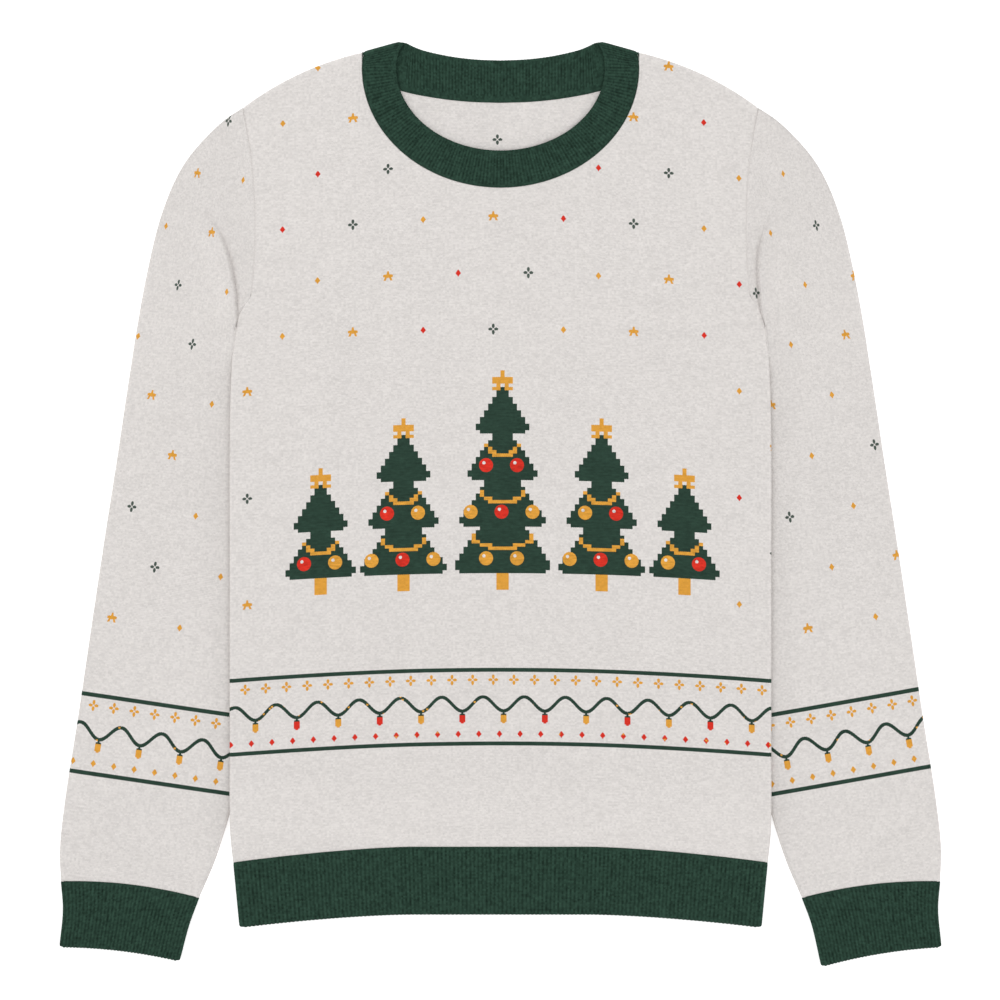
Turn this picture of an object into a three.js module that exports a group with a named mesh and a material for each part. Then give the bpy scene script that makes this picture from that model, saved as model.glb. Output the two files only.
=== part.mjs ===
// A long-sleeved crew-neck sweater of fine knit, laid flat with its front up and its neck towards +Y.
// Millimetres, +Z up. The origin is on the table, under the middle of the laid-out sweater.
// Left and right are the wearer's, so the left sleeve lies on the +X side.
// Both halves share one outline. It is given for the +X side and mirrored.
import * as THREE from "three";

const { lerp, smoothstep } = THREE.MathUtils;

// Cloth: one layer of knit, one layer of ribbed band without its ribs, and the doubled neckband.
const KNIT_WALL = 2.0;
const BAND_WALL = 2.4;
const COLLAR_WALL = 2.8;
const SEAM_GAP = 0.3;
const LAYER_GAP = 0.6;
const NECK_CLEARANCE = 0.5;

// Ribs: pitch along the edge, and how far a rib stands out of its band.
const BAND_RIB_PITCH = 3.3;
const COLLAR_RIB_PITCH = 2.55;
const BAND_RIB_HEIGHT = 0.5;
const COLLAR_RIB_HEIGHT = 0.45;

// Each sleeve is tucked under the side of the body, which rides over it at this height.
const TUCK_LIFT = 5.0;
const TUCK_TOP = 110;
const TUCK_RAMP = { start: 48, end: 8 };
const FRONT_SLOPE = { start: 60, end: 168 };
const LIFT_FADE = { bottomEnd: -300, bottomStart: -258, topStart: 172, backTopEnd: 240, frontTopEnd: 296 };

// Body outline: hem corner, side seam and underarm, then the armhole up to the shoulder tip.
const SIDE_SEAM = [
  { x: 214.0, y: -287.4 },
  { x: 216.0, y: -262.0 },
  { x: 216.4, y: -180.0 },
  { x: 216.4, y: -60.0 },
  { x: 216.4, y: 42.8 },
  { x: 215.6, y: 90.0 },
  { x: 213.8, y: 125.2 },
  { x: 212.0, y: 141.5 },
  { x: 207.8, y: 153.8 },
  { x: 199.3, y: 166.5 },
];
const UNDERARM = { x: 199.3, y: 166.5 };
const SHOULDER_TIP = { x: 206.0, y: 317.0 };
const ARMHOLE_BOW = 5.9;
const NECK_CORNER = { x: 110.4, y: 361.2 };
const SHOULDER_BOW = 5.0;

// Hem: height of the seam and of the bottom edge at the centre, and how far each falls to the sides.
const HEM = { seamY: -275.0, seamDrop: 12.4, bottomY: -328.7, bottomDrop: 10.6, bottomX: 209.2, corner: 5 };
const HEM_FALL = { flatHalf: 70, power: 1.6 };

// Neck: the seam and the free edge of the neckband in front are half ellipses about one centre.
const NECK_CENTRE_Y = 348.4;
const NECK_SEAM = { x: 110.4, y: 95.2 };
const NECK_EDGE = { x: 83.4, y: 66.0 };
const COLLAR_PEAK = { x: 78.8, y: 370.0 };
// Behind the neck: the neckband's seam and its free edge, from the shoulder to the centre.
const BACK_NECK_SEAM = [
  { x: 110.4, y: 361.2 },
  { x: 106.6, y: 349.0 },
  { x: 97.0, y: 338.6 },
  { x: 80.0, y: 331.0 },
  { x: 54.0, y: 325.4 },
  { x: 27.0, y: 322.2 },
  { x: 0.0, y: 321.2 },
];
const BACK_NECK_EDGE = [
  { x: 78.8, y: 370.0 },
  { x: 71.0, y: 366.6 },
  { x: 58.8, y: 362.2 },
  { x: 40.0, y: 358.0 },
  { x: 20.0, y: 355.6 },
  { x: 0.0, y: 354.8 },
];

// Sleeve sections from armhole to cuff seam: the outer edge, the inner edge that goes under the body,
// the bow of the section towards the neck, and the share of the underarm's lift that is left in it.
const SLEEVE_SECTIONS = [
  { outerX: 206.0, outerY: 317.0, innerX: 199.3, innerY: 166.5, bow: 5.9, lift: 1.0 },
  { outerX: 221.2, outerY: 306.8, innerX: 204.9, innerY: 159.8, bow: 5.0, lift: 0.74 },
  { outerX: 238.0, outerY: 290.8, innerX: 209.0, innerY: 152.6, bow: 4.0, lift: 0.38 },
  { outerX: 251.2, outerY: 274.8, innerX: 212.2, innerY: 143.0, bow: 2.5, lift: 0.0 },
  { outerX: 261.8, outerY: 256.0, innerX: 210.0, innerY: 133.5, bow: 1.0, lift: 0.0 },
  { outerX: 272.8, outerY: 226.8, innerX: 198.0, innerY: 122.0, bow: 0.0, lift: 0.0 },
  { outerX: 280.8, outerY: 194.8, innerX: 186.0, innerY: 104.0, bow: 0.0, lift: 0.0 },
  { outerX: 288.8, outerY: 154.0, innerX: 178.6, innerY: 72.0, bow: 0.0, lift: 0.0 },
  { outerX: 297.6, outerY: 98.8, innerX: 176.6, innerY: 28.0, bow: 0.0, lift: 0.0 },
  { outerX: 307.2, outerY: 34.8, innerX: 178.8, innerY: -22.0, bow: 0.0, lift: 0.0 },
  { outerX: 317.2, outerY: -29.2, innerX: 183.4, innerY: -72.0, bow: 0.0, lift: 0.0 },
  { outerX: 326.8, outerY: -93.2, innerX: 190.0, innerY: -122.0, bow: 0.0, lift: 0.0 },
  { outerX: 338.6, outerY: -173.2, innerX: 201.6, innerY: -196.0, bow: 0.5, lift: 0.0 },
  { outerX: 348.6, outerY: -237.2, innerX: 215.2, innerY: -253.0, bow: 1.0, lift: 0.0 },
  { outerX: 352.8, outerY: -277.0, innerX: 228.6, innerY: -286.0, bow: 3.0, lift: 0.0 },
  { outerX: 352.0, outerY: -302.4, innerX: 241.2, innerY: -315.6, bow: 4.0, lift: 0.0 },
];

// Cuff sections from its seam to its end. The left cuff hangs a little lower at its inner corner.
const cuffSections = (endInnerY) => [
  { outerX: 352.0, outerY: -302.7, innerX: 241.2, innerY: -315.9, bow: 4.0, lift: 0.0 },
  { outerX: 350.4, outerY: -325.0, innerX: 249.0, innerY: -337.0, bow: 3.2, lift: 0.0 },
  { outerX: 353.2, outerY: -354.6, innerX: 256.6, innerY: endInnerY, bow: 2.5, lift: 0.0 },
];
const CUFF_END_INNER_Y = { right: -366.0, left: -370.4 };
const CUFF_CORNER = 4.0;

// Folds where each sleeve turns down at the underarm: a soft roll along a curved line.
const SLEEVE_FOLDS = {
  right: [
    { fromX: 219, fromY: 158, viaX: 222, viaY: 200, toX: 246, toY: 236, height: 3.2, width: 13 },
    { fromX: 208, fromY: 262, viaX: 222, viaY: 256, toX: 236, toY: 238, height: 1.2, width: 9 },
    { fromX: 318, fromY: -262, viaX: 300, viaY: -276, toX: 268, toY: -292, height: 1.2, width: 12 },
  ],
  left: [
    { fromX: 217, fromY: 164, viaX: 214, viaY: 206, toX: 238, toY: 240, height: 2.8, width: 12 },
    { fromX: 211, fromY: 272, viaX: 220, viaY: 290, toX: 226, toY: 300, height: 1.0, width: 8 },
    { fromX: 330, fromY: -256, viaX: 306, viaY: -272, toX: 282, toY: -294, height: 1.0, width: 12 },
  ],
};

const FOLD_FADE = { rise: [-0.2, 0.4], fall: [0.5, 1.1], steps: 16 };

// How finely each piece is divided. The side seam has closer steps near the hem and the underarm.
const SIDE_SHARES = [0, 0.07, 0.2, 0.36, 0.52, 0.68, 0.8, 0.89, 0.95, 0.985, 1];
const STEPS = { armhole: 5, shoulder: 5, neck: 10, backNeck: 9, roll: 2, sleeve: 24, sleeveTop: 8 };
const TUBE_STEPS = { underSleeve: 5, underCuff: 6, cuffRows: 2, end: 2 };
const HEM_BACK_SPANS = 32;
const COLLAR_TURN_SPANS = 6;

const COLOURS = { knit: 0xdcd8d5, rib: 0x2b4036 };

const FRONT_MID = KNIT_WALL * 1.5 + LAYER_GAP;
const BACK_MID = KNIT_WALL / 2;
const BAND_FRONT_MID = KNIT_WALL + LAYER_GAP + BAND_WALL / 2;
const BAND_BACK_MID = BAND_WALL / 2;
const UP = new THREE.Vector3(0, 0, 1);

const at = (x, y) => new THREE.Vector3(x, y, 0);
const through = (rows) => new THREE.CatmullRomCurve3(rows.map(({ x, y }) => at(x, y)));
const mirrored = (point) => new THREE.Vector3(-point.x, point.y, point.z);
const clockwise = (way) => at(way.y, -way.x).normalize();

// A wall's closed surface from matching rows of outer and inner points. A tube closes on itself.
function closedWall(outer, inner, isTube) {
  const rows = outer.length;
  const columns = outer[0].length;
  const points = [...outer.flat(), ...inner.flat()];
  const faces = [];
  const quad = (a, b, c, d) => faces.push(a, b, c, a, c, d);
  const outerAt = (i, j) => i * columns + (j % columns);
  const innerAt = (i, j) => rows * columns + outerAt(i, j);
  const spans = isTube ? columns : columns - 1;
  for (let i = 0; i < rows - 1; i++) {
    for (let j = 0; j < spans; j++) {
      quad(outerAt(i, j), outerAt(i, j + 1), outerAt(i + 1, j + 1), outerAt(i + 1, j));
      quad(innerAt(i, j), innerAt(i + 1, j), innerAt(i + 1, j + 1), innerAt(i, j + 1));
    }
  }
  for (let j = 0; j < spans; j++) {
    quad(outerAt(0, j), innerAt(0, j), innerAt(0, j + 1), outerAt(0, j + 1));
    quad(outerAt(rows - 1, j), outerAt(rows - 1, j + 1), innerAt(rows - 1, j + 1), innerAt(rows - 1, j));
  }
  if (!isTube) {
    for (let i = 0; i < rows - 1; i++) {
      quad(outerAt(i, 0), outerAt(i + 1, 0), innerAt(i + 1, 0), innerAt(i, 0));
      quad(outerAt(i, spans), innerAt(i, spans), innerAt(i + 1, spans), outerAt(i + 1, spans));
    }
  }
  return facingOut(points, faces);
}

// The faces are turned together so that the volume they hold is positive.
function facingOut(points, faces) {
  let volume = 0;
  for (let f = 0; f < faces.length; f += 3) {
    const [a, b, c] = [points[faces[f]], points[faces[f + 1]], points[faces[f + 2]]];
    volume += a.dot(new THREE.Vector3().crossVectors(b, c));
  }
  const geometry = new THREE.BufferGeometry().setFromPoints(points);
  geometry.setIndex(volume > 0 ? faces : faces.toReversed());
  geometry.computeVertexNormals();
  return geometry;
}

function piece(name, colour, geometry) {
  const material = new THREE.MeshStandardMaterial({ color: colour, roughness: 0.95, metalness: 0 });
  const mesh = new THREE.Mesh(geometry, material);
  mesh.name = name;
  return mesh;
}

// Where the hidden inner edge of the sleeve lies under the body, as |x| at a given y.
function tuckedEdge(y) {
  const rows = SLEEVE_SECTIONS.filter((row) => row.innerY < TUCK_TOP);
  const below = rows.find((row) => row.innerY <= y) ?? rows.at(-1);
  const above = rows[Math.max(rows.indexOf(below) - 1, 0)];
  const span = above.innerY - below.innerY;
  const share = span > 0 ? THREE.MathUtils.clamp((y - below.innerY) / span, 0, 1) : 0;
  return Math.min(lerp(below.innerX, above.innerX, share), SIDE_SEAM[1].x);
}

function backLift(x, y) {
  const edge = tuckedEdge(y);
  const across = smoothstep(Math.abs(x), edge - TUCK_RAMP.start, edge - TUCK_RAMP.end);
  return TUCK_LIFT * across * liftFade(y, LIFT_FADE.backTopEnd);
}

function frontLift(x, y) {
  const across = smoothstep(Math.abs(x), FRONT_SLOPE.start, FRONT_SLOPE.end);
  return TUCK_LIFT * across * liftFade(y, LIFT_FADE.frontTopEnd);
}

function liftFade(y, topEnd) {
  const bottom = smoothstep(y, LIFT_FADE.bottomEnd, LIFT_FADE.bottomStart);
  return bottom * (1 - smoothstep(y, LIFT_FADE.topStart, topEnd));
}

// Front and back edges roll towards each other at side and shoulder, and stay flat at armhole and neck.
const ROLL_RADIUS = (FRONT_MID - BACK_MID - SEAM_GAP) / 2;
const ROLLED_REACH = ROLL_RADIUS + KNIT_WALL / 2;
const FLAT_REACH = (ROLL_RADIUS * Math.PI) / 2 + SEAM_GAP / 2;
const reach = (roll) => lerp(FLAT_REACH, ROLLED_REACH, roll);

// One step of the edge strip: how far out it goes, how far it turns in, and the tilt of the wall there.
function rollStep(step, roll) {
  const turn = ((step / STEPS.roll) * Math.PI) / 2;
  const tilt = turn * roll;
  const out = roll > 0 ? (ROLL_RADIUS * Math.sin(tilt)) / roll : ROLL_RADIUS * turn;
  const drop = roll > 0 ? (ROLL_RADIUS * (1 - Math.cos(tilt))) / roll : 0;
  return { out, drop, tilt };
}

// Edge samples at given shares of a curve: point, outward direction and roll.
function edge(curve, shareList, roll) {
  return shareList.map((u) => ({ point: curve.getPointAt(u), out: clockwise(curve.getTangentAt(u)), roll }));
}

const evenly = (count) => Array.from({ length: count + 1 }, (_, k) => k / count);

const sideSeam = through(SIDE_SEAM);
const armhole = new THREE.QuadraticBezierCurve3(
  at(UNDERARM.x, UNDERARM.y),
  at((UNDERARM.x + SHOULDER_TIP.x) / 2 - 2 * ARMHOLE_BOW, (UNDERARM.y + SHOULDER_TIP.y) / 2),
  at(SHOULDER_TIP.x, SHOULDER_TIP.y),
);
const shoulder = new THREE.QuadraticBezierCurve3(
  at(SHOULDER_TIP.x, SHOULDER_TIP.y),
  at((SHOULDER_TIP.x + NECK_CORNER.x) / 2 + SHOULDER_BOW, (SHOULDER_TIP.y + NECK_CORNER.y) / 2 + 2 * SHOULDER_BOW),
  at(NECK_CORNER.x, NECK_CORNER.y),
);

// The right half of the neckline in front, from the shoulder down to the centre.
function frontNeckline() {
  const line = new THREE.LineCurve3(at(NECK_CORNER.x, NECK_CORNER.y), at(NECK_SEAM.x, NECK_CENTRE_Y));
  const angles = evenly(STEPS.neck).map((share) => (Math.PI / 2) * (1 - share));
  const curve = new THREE.CatmullRomCurve3(angles.map((angle) => ellipsePoint(NECK_SEAM, angle)));
  const path = new THREE.CurvePath();
  path.add(line);
  path.add(curve);
  return path;
}

function ellipsePoint(radii, angle) {
  return at(radii.x * Math.sin(angle), NECK_CENTRE_Y - radii.y * Math.cos(angle));
}

// One half of a body panel's edge as samples that run up the side and in over the shoulder and the neck.
function halfOutline(neckline, neckSteps) {
  const side = edge(sideSeam, SIDE_SHARES, 1);
  side.at(-1).roll = 0;
  side.push(...edge(armhole, evenly(STEPS.armhole).slice(1), 0));
  // the curves run anticlockwise round the panel, so their clockwise side is the outside
  const top = edge(shoulder, evenly(STEPS.shoulder), 1);
  const neck = edge(neckline, evenly(neckSteps).slice(1), 0);
  neck.forEach(({ point, out }) => point.addScaledVector(out, -NECK_CLEARANCE));
  top.push(...neck);
  const tip = cornerInset(SHOULDER_TIP, side.at(-1).out, top[0].out, reach(0), reach(1));
  // at the shoulder tip each strip goes on along the other edge, so the corner stays sharp
  const alongArmhole = armhole.getTangentAt(1);
  const alongShoulder = shoulder.getTangentAt(0).negate();
  const [sideOut, topOut] = [side.at(-1).out, top[0].out];
  top[0].out = alongArmhole.divideScalar(alongArmhole.dot(topOut));
  side.at(-1).out = alongShoulder.divideScalar(alongShoulder.dot(sideOut));
  return { side, top, tip };
}

// The point that lies a given distance inside each of two edges that meet at a corner.
function cornerInset(corner, outA, outB, insetA, insetB) {
  const skew = outA.dot(outB);
  const alongA = (skew * insetB - insetA) / (1 - skew ** 2);
  const alongB = (skew * insetA - insetB) / (1 - skew ** 2);
  return at(corner.x, corner.y).addScaledVector(outA, alongA).addScaledVector(outB, alongB);
}

// A body panel. Its outer face looks up in front (facing 1) and down behind (facing -1).
function bodyPanel(name, neckline, neckSteps, facing, mid, lift) {
  const { side, top, tip } = halfOutline(neckline, neckSteps);
  top[STEPS.shoulder].point.x += SEAM_GAP * 2;
  const inset = (sample) => sample.point.clone().addScaledVector(sample.out, -reach(sample.roll));
  const sideLine = side.map(inset);
  const topLine = top.map(inset);
  sideLine[sideLine.length - 1] = tip;
  topLine[0] = tip;
  topLine[topLine.length - 1].x = 0;
  sideLine[0].y = hemSeamY(sideLine[0].x) + SEAM_GAP / 2;

  const upRows = sideLine.length;
  const halfColumns = topLine.length;
  const columns = 2 * halfColumns - 1;
  const topPoint = (j) => (j < halfColumns ? mirrored(topLine[j]) : topLine[columns - 1 - j].clone());
  const topSample = (j) => (j < halfColumns ? top[j] : top[columns - 1 - j]);
  const topOut = (j) => (j < halfColumns ? mirrored(topSample(j).out) : topSample(j).out);
  const alongTop = shares(Array.from({ length: columns }, (_, j) => topPoint(j)));
  const alongSide = shares(sideLine);
  const bottomPoint = (u) => {
    const x = lerp(-sideLine[0].x, sideLine[0].x, u);
    return at(x, hemSeamY(x) + SEAM_GAP / 2);
  };

  // a bilinear blend of the four edges fills the panel
  const flat = (i, j) => {
    const [u, v] = [alongTop[j], alongSide[i]];
    const right = sideLine[i];
    const left = mirrored(right);
    const point = bottomPoint(u).multiplyScalar(1 - v).addScaledVector(topPoint(j), v);
    point.addScaledVector(left, 1 - u).addScaledVector(right, u);
    point.addScaledVector(bottomPoint(0), -(1 - u) * (1 - v)).addScaledVector(bottomPoint(1), -u * (1 - v));
    point.addScaledVector(topPoint(0), -(1 - u) * v).addScaledVector(topPoint(columns - 1), -u * v);
    return point;
  };

  const outer = [];
  const inner = [];
  for (let i = 0; i < upRows + STEPS.roll; i++) {
    const outerRow = [];
    const innerRow = [];
    for (let j = -STEPS.roll; j < columns + STEPS.roll; j++) {
      const row = Math.min(i, upRows - 1);
      const column = THREE.MathUtils.clamp(j, 0, columns - 1);
      const point = flat(row, column);
      const height = mid + lift(point.x, point.y);
      const onLeft = j < 0;
      const sideSteps = onLeft ? -j : Math.max(j - columns + 1, 0);
      const sideOut = onLeft ? mirrored(side[row].out) : side[row].out;
      const acrossStep = rollStep(sideSteps, side[row].roll);
      const upStep = rollStep(i - row, topSample(column).roll);
      const lean = at(0, 0)
        .addScaledVector(sideOut, Math.sin(acrossStep.tilt))
        .addScaledVector(topOut(column), Math.sin(upStep.tilt));
      const upright = Math.cos(Math.max(acrossStep.tilt, upStep.tilt));
      point.addScaledVector(sideOut, acrossStep.out).addScaledVector(topOut(column), upStep.out);
      point.z = height - facing * (acrossStep.drop + upStep.drop);
      const normal = lean.addScaledVector(UP, facing * upright).normalize();
      outerRow.push(point.clone().addScaledVector(normal, KNIT_WALL / 2));
      innerRow.push(point.clone().addScaledVector(normal, -KNIT_WALL / 2));
    }
    outer.push(outerRow);
    inner.push(innerRow);
  }
  return piece(name, COLOURS.knit, closedWall(outer, inner, false));
}

// Share of the whole length reached at each point of a line.
function shares(points) {
  const lengths = [0];
  for (let k = 1; k < points.length; k++) {
    lengths.push(lengths[k - 1] + points[k].distanceTo(points[k - 1]));
  }
  return lengths.map((length) => length / lengths.at(-1));
}

// How far the hem has fallen at x, as a share of its fall at the side.
function fall(x, halfWidth) {
  const beyondFlat = Math.max(Math.abs(x) - HEM_FALL.flatHalf, 0) / (halfWidth - HEM_FALL.flatHalf);
  return beyondFlat ** HEM_FALL.power;
}

function hemSeamY(x) {
  return HEM.seamY - HEM.seamDrop * fall(x, SIDE_SEAM[0].x);
}

// The bottom edge, rounded up at its corner.
function hemBottomY(x) {
  const inFromCorner = HEM.bottomX - Math.abs(x);
  const rounding = Math.max(HEM.corner - inFromCorner, 0);
  const lifted = HEM.corner - Math.sqrt(HEM.corner ** 2 - rounding ** 2);
  return HEM.bottomY - HEM.bottomDrop * fall(x, HEM.bottomX) + lifted;
}

// The hem band in front is ribbed. Behind, it rests on the table and is plain.
function hemBand(name, facing, mid, lift, ribHeight, spans) {
  const rolledReach = ROLL_RADIUS + BAND_WALL / 2;
  const seamHalf = SIDE_SEAM[0].x - rolledReach;
  const bottomHalf = HEM.bottomX - rolledReach;
  const outer = [[], []];
  const inner = [[], []];
  for (let j = -STEPS.roll; j <= spans + STEPS.roll; j++) {
    const column = THREE.MathUtils.clamp(j, 0, spans);
    const u = (2 * column) / spans - 1;
    const side = u < 0 ? -1 : 1;
    const step = rollStep(Math.abs(j - column), 1);
    const rib = j === column && column % 2 === 1 ? ribHeight : 0;
    [1, 0].forEach((isBottom, row) => {
      const x = u * (isBottom ? bottomHalf : seamHalf);
      const y = isBottom ? hemBottomY(x) : hemSeamY(x) - SEAM_GAP / 2;
      const point = new THREE.Vector3(x + side * step.out, y, mid + lift(x, y) - facing * step.drop);
      const normal = new THREE.Vector3(side * Math.sin(step.tilt), 0, facing * Math.cos(step.tilt));
      outer[row].push(point.clone().addScaledVector(normal, BAND_WALL / 2 + rib));
      inner[row].push(point.clone().addScaledVector(normal, -BAND_WALL / 2));
    });
  }
  return piece(name, COLOURS.rib, closedWall(outer, inner, false));
}

// A soft roll of cloth along a curved line, highest before its middle and fading at both ends.
function foldHeight(folds, x, y) {
  let height = 0;
  for (const fold of folds) {
    const [from, via, to] = [at(fold.fromX, fold.fromY), at(fold.viaX, fold.viaY), at(fold.toX, fold.toY)];
    const line = new THREE.QuadraticBezierCurve3(from, via, to).getPoints(FOLD_FADE.steps);
    const distances = line.map((point) => point.distanceTo(at(x, y)));
    const distance = Math.min(...distances);
    const share = distances.indexOf(distance) / FOLD_FADE.steps;
    const across = Math.max(1 - (distance / fold.width) ** 2, 0) ** 2;
    const rise = smoothstep(share, ...FOLD_FADE.rise);
    height += fold.height * across * rise * (1 - smoothstep(share, ...FOLD_FADE.fall));
  }
  return height;
}

// Points round one flattened section of a sleeve or cuff: share of the width, and angle of the wall's normal.
function sectionLoop(topSpans, underSpans, ribbed) {
  const quarterTurn = Math.PI / 2;
  const endTurn = (k) => (quarterTurn * k) / TUBE_STEPS.end;
  const loop = [];
  for (let k = 0; k <= topSpans; k++) {
    loop.push({ share: k / topSpans, angle: quarterTurn, rib: ribbed && k % 2 === 1 });
  }
  for (let k = 1; k < 2 * TUBE_STEPS.end; k++) {
    loop.push({ share: 1, angle: quarterTurn - endTurn(k), rib: false });
  }
  for (let k = underSpans; k >= 0; k--) {
    loop.push({ share: k / underSpans, angle: -quarterTurn, rib: false });
  }
  for (let k = 1; k < 2 * TUBE_STEPS.end; k++) {
    loop.push({ share: 0, angle: -quarterTurn - endTurn(k), rib: false });
  }
  return loop;
}

// A column of a table of sections, between its rows.
function between(sections, name, s) {
  const place = s * (sections.length - 1);
  const first = Math.min(Math.floor(place), sections.length - 2);
  return lerp(sections[first][name], sections[first + 1][name], place - first);
}

// How far the underarm's lift raises a sleeve section there: the top layer more than the one below.
function sleeveLift(shareAcross, upright, liftShare) {
  const armholeY = lerp(SHOULDER_TIP.y, UNDERARM.y, shareAcross);
  const top = liftFade(armholeY, LIFT_FADE.frontTopEnd);
  const under = liftFade(armholeY, LIFT_FADE.backTopEnd);
  return TUCK_LIFT * lerp(under, top, (1 + upright) / 2) * liftShare;
}

// A flattened tube through a table of sections, on one side of the body.
function flatTube({ sections, rows, loop, wall, topMid, underMid, ribHeight, corner, folds, side, seamInset }) {
  const outerLine = through(sections.map((row) => ({ x: row.outerX, y: row.outerY })));
  const innerLine = through(sections.map((row) => ({ x: row.innerX, y: row.innerY })));
  const radius = (topMid - underMid) / 2;
  const edgeRadius = radius + wall / 2;
  const outer = [];
  const inner = [];
  for (let i = 0; i <= rows; i++) {
    const s = i / rows;
    const from = outerLine.getPoint(s);
    const width = from.distanceTo(innerLine.getPoint(s));
    const across = innerLine.getPoint(s).sub(from).normalize();
    const towardsNeck = clockwise(across);
    const outerRow = [];
    const innerRow = [];
    for (const { share, angle, rib } of loop) {
      const [level, upright] = [Math.abs(Math.cos(angle)), Math.sin(angle)];
      const distance = edgeRadius + share * (width - 2 * edgeRadius);
      const fromCorner = Math.max(corner - Math.min(distance, width - distance), 0);
      const rounding = i === rows ? corner - Math.sqrt(corner ** 2 - fromCorner ** 2) : 0;
      const bow = 4 * share * (1 - share) * between(sections, "bow", s);
      const point = from.clone().addScaledVector(across, distance);
      point.addScaledVector(towardsNeck, bow + rounding - seamInset * (1 - 2 * s));
      const fold = upright === 1 ? foldHeight(folds, point.x, point.y) : 0;
      const lift = sleeveLift(distance / width, upright, between(sections, "lift", s));
      point.z = (topMid + underMid) / 2 + lift + fold;
      const normal = across.clone().multiplyScalar(share < 0.5 ? -level : level).setZ(upright);
      point.addScaledVector(normal, radius);
      outerRow.push(point.clone().addScaledVector(normal, wall / 2 + (rib ? ribHeight : 0)));
      innerRow.push(point.clone().addScaledVector(normal, -wall / 2));
    }
    outer.push(side < 0 ? outerRow.map(mirrored) : outerRow);
    inner.push(side < 0 ? innerRow.map(mirrored) : innerRow);
  }
  return closedWall(outer, inner, true);
}

function sleeve(name, side, folds) {
  const tube = flatTube({
    sections: SLEEVE_SECTIONS,
    rows: STEPS.sleeve,
    loop: sectionLoop(STEPS.sleeveTop, TUBE_STEPS.underSleeve, false),
    wall: KNIT_WALL,
    topMid: FRONT_MID,
    underMid: BACK_MID,
    ribHeight: 0,
    corner: 0,
    folds,
    side,
    seamInset: SEAM_GAP / 2,
  });
  return piece(name, COLOURS.knit, tube);
}

function cuff(name, side, endInnerY) {
  const sections = cuffSections(endInnerY);
  const ribs = Math.round((sections[0].outerX - sections[0].innerX) / BAND_RIB_PITCH);
  const tube = flatTube({
    sections,
    rows: TUBE_STEPS.cuffRows,
    loop: sectionLoop(2 * ribs, TUBE_STEPS.underCuff, true),
    wall: BAND_WALL,
    topMid: BAND_FRONT_MID,
    underMid: BAND_BACK_MID,
    ribHeight: BAND_RIB_HEIGHT,
    corner: CUFF_CORNER,
    folds: [],
    side,
    seamInset: 0,
  });
  return piece(name, COLOURS.rib, tube);
}

// The neckband: flat in front, folded over at the shoulders, with its inside up behind the neck.
const COLLAR_FRONT_MID = KNIT_WALL + LAYER_GAP + COLLAR_WALL / 2;
const COLLAR_TOP_MID = COLLAR_WALL + SEAM_GAP + COLLAR_WALL / 2;
const COLLAR_BACK_MID = COLLAR_WALL / 2;
// Between these angles round the neck, in radians from the front centre, the band rises over its back half.
const COLLAR_RISE = [0.6, 1.3];
const COLLAR_RISE_BEND = { x: 83.2, y: 360 };
// The inside's ribs end where the front of the band covers them.
const COLLAR_COVERED_X = 74.8;

function frontCollarSections() {
  const middle = { x: (NECK_SEAM.x + NECK_EDGE.x) / 2, y: (NECK_SEAM.y + NECK_EDGE.y) / 2 };
  const quarter = new THREE.EllipseCurve(0, 0, middle.y, middle.x, 0, Math.PI / 2);
  const spans = 2 * Math.round(quarter.getLength() / COLLAR_RIB_PITCH);
  const sections = [];
  for (let k = 0; k <= spans; k++) {
    const angle = (quarter.getUtoTmapping(k / spans) * Math.PI) / 2;
    const height = lerp(COLLAR_FRONT_MID, COLLAR_TOP_MID, smoothstep(angle, ...COLLAR_RISE));
    sections.push({
      seam: ellipsePoint(NECK_SEAM, angle).setZ(height),
      edge: ellipsePoint(NECK_EDGE, angle).setZ(height),
      normal: UP,
    });
  }
  return sections;
}

// The straight rise to the shoulder and the half turn round the fold line.
function shoulderCollarSections() {
  const seamEnd = at(NECK_CORNER.x, NECK_CORNER.y);
  const edgeEnd = at(COLLAR_PEAK.x, COLLAR_PEAK.y);
  const outward = clockwise(edgeEnd.clone().sub(seamEnd));
  const turnRadius = (COLLAR_TOP_MID - COLLAR_BACK_MID) / 2;
  const foldInset = turnRadius + COLLAR_WALL / 2;
  seamEnd.addScaledVector(outward, -foldInset);
  edgeEnd.addScaledVector(outward, -foldInset);
  const sections = [];
  const riseSpans = 2 * Math.round((edgeEnd.y - NECK_CENTRE_Y) / COLLAR_RIB_PITCH);
  const bend = at(COLLAR_RISE_BEND.x, COLLAR_RISE_BEND.y);
  const edgeRise = new THREE.QuadraticBezierCurve3(at(NECK_EDGE.x, NECK_CENTRE_Y), bend, edgeEnd);
  for (let k = 1; k <= riseSpans; k++) {
    const seam = at(NECK_SEAM.x, NECK_CENTRE_Y).lerp(seamEnd, k / riseSpans);
    const edgePoint = edgeRise.getPoint(k / riseSpans);
    sections.push({ seam: seam.setZ(COLLAR_TOP_MID), edge: edgePoint.setZ(COLLAR_TOP_MID), normal: UP });
  }
  for (let k = 1; k < COLLAR_TURN_SPANS; k++) {
    const angle = Math.PI * (0.5 - k / COLLAR_TURN_SPANS);
    const normal = outward.clone().multiplyScalar(Math.cos(angle)).addScaledVector(UP, Math.sin(angle));
    const turned = (end) => end.clone().setZ(COLLAR_BACK_MID + turnRadius).addScaledVector(normal, turnRadius);
    sections.push({ seam: turned(seamEnd), edge: turned(edgeEnd), normal });
  }
  return { sections, seamEnd, edgeEnd };
}

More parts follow.
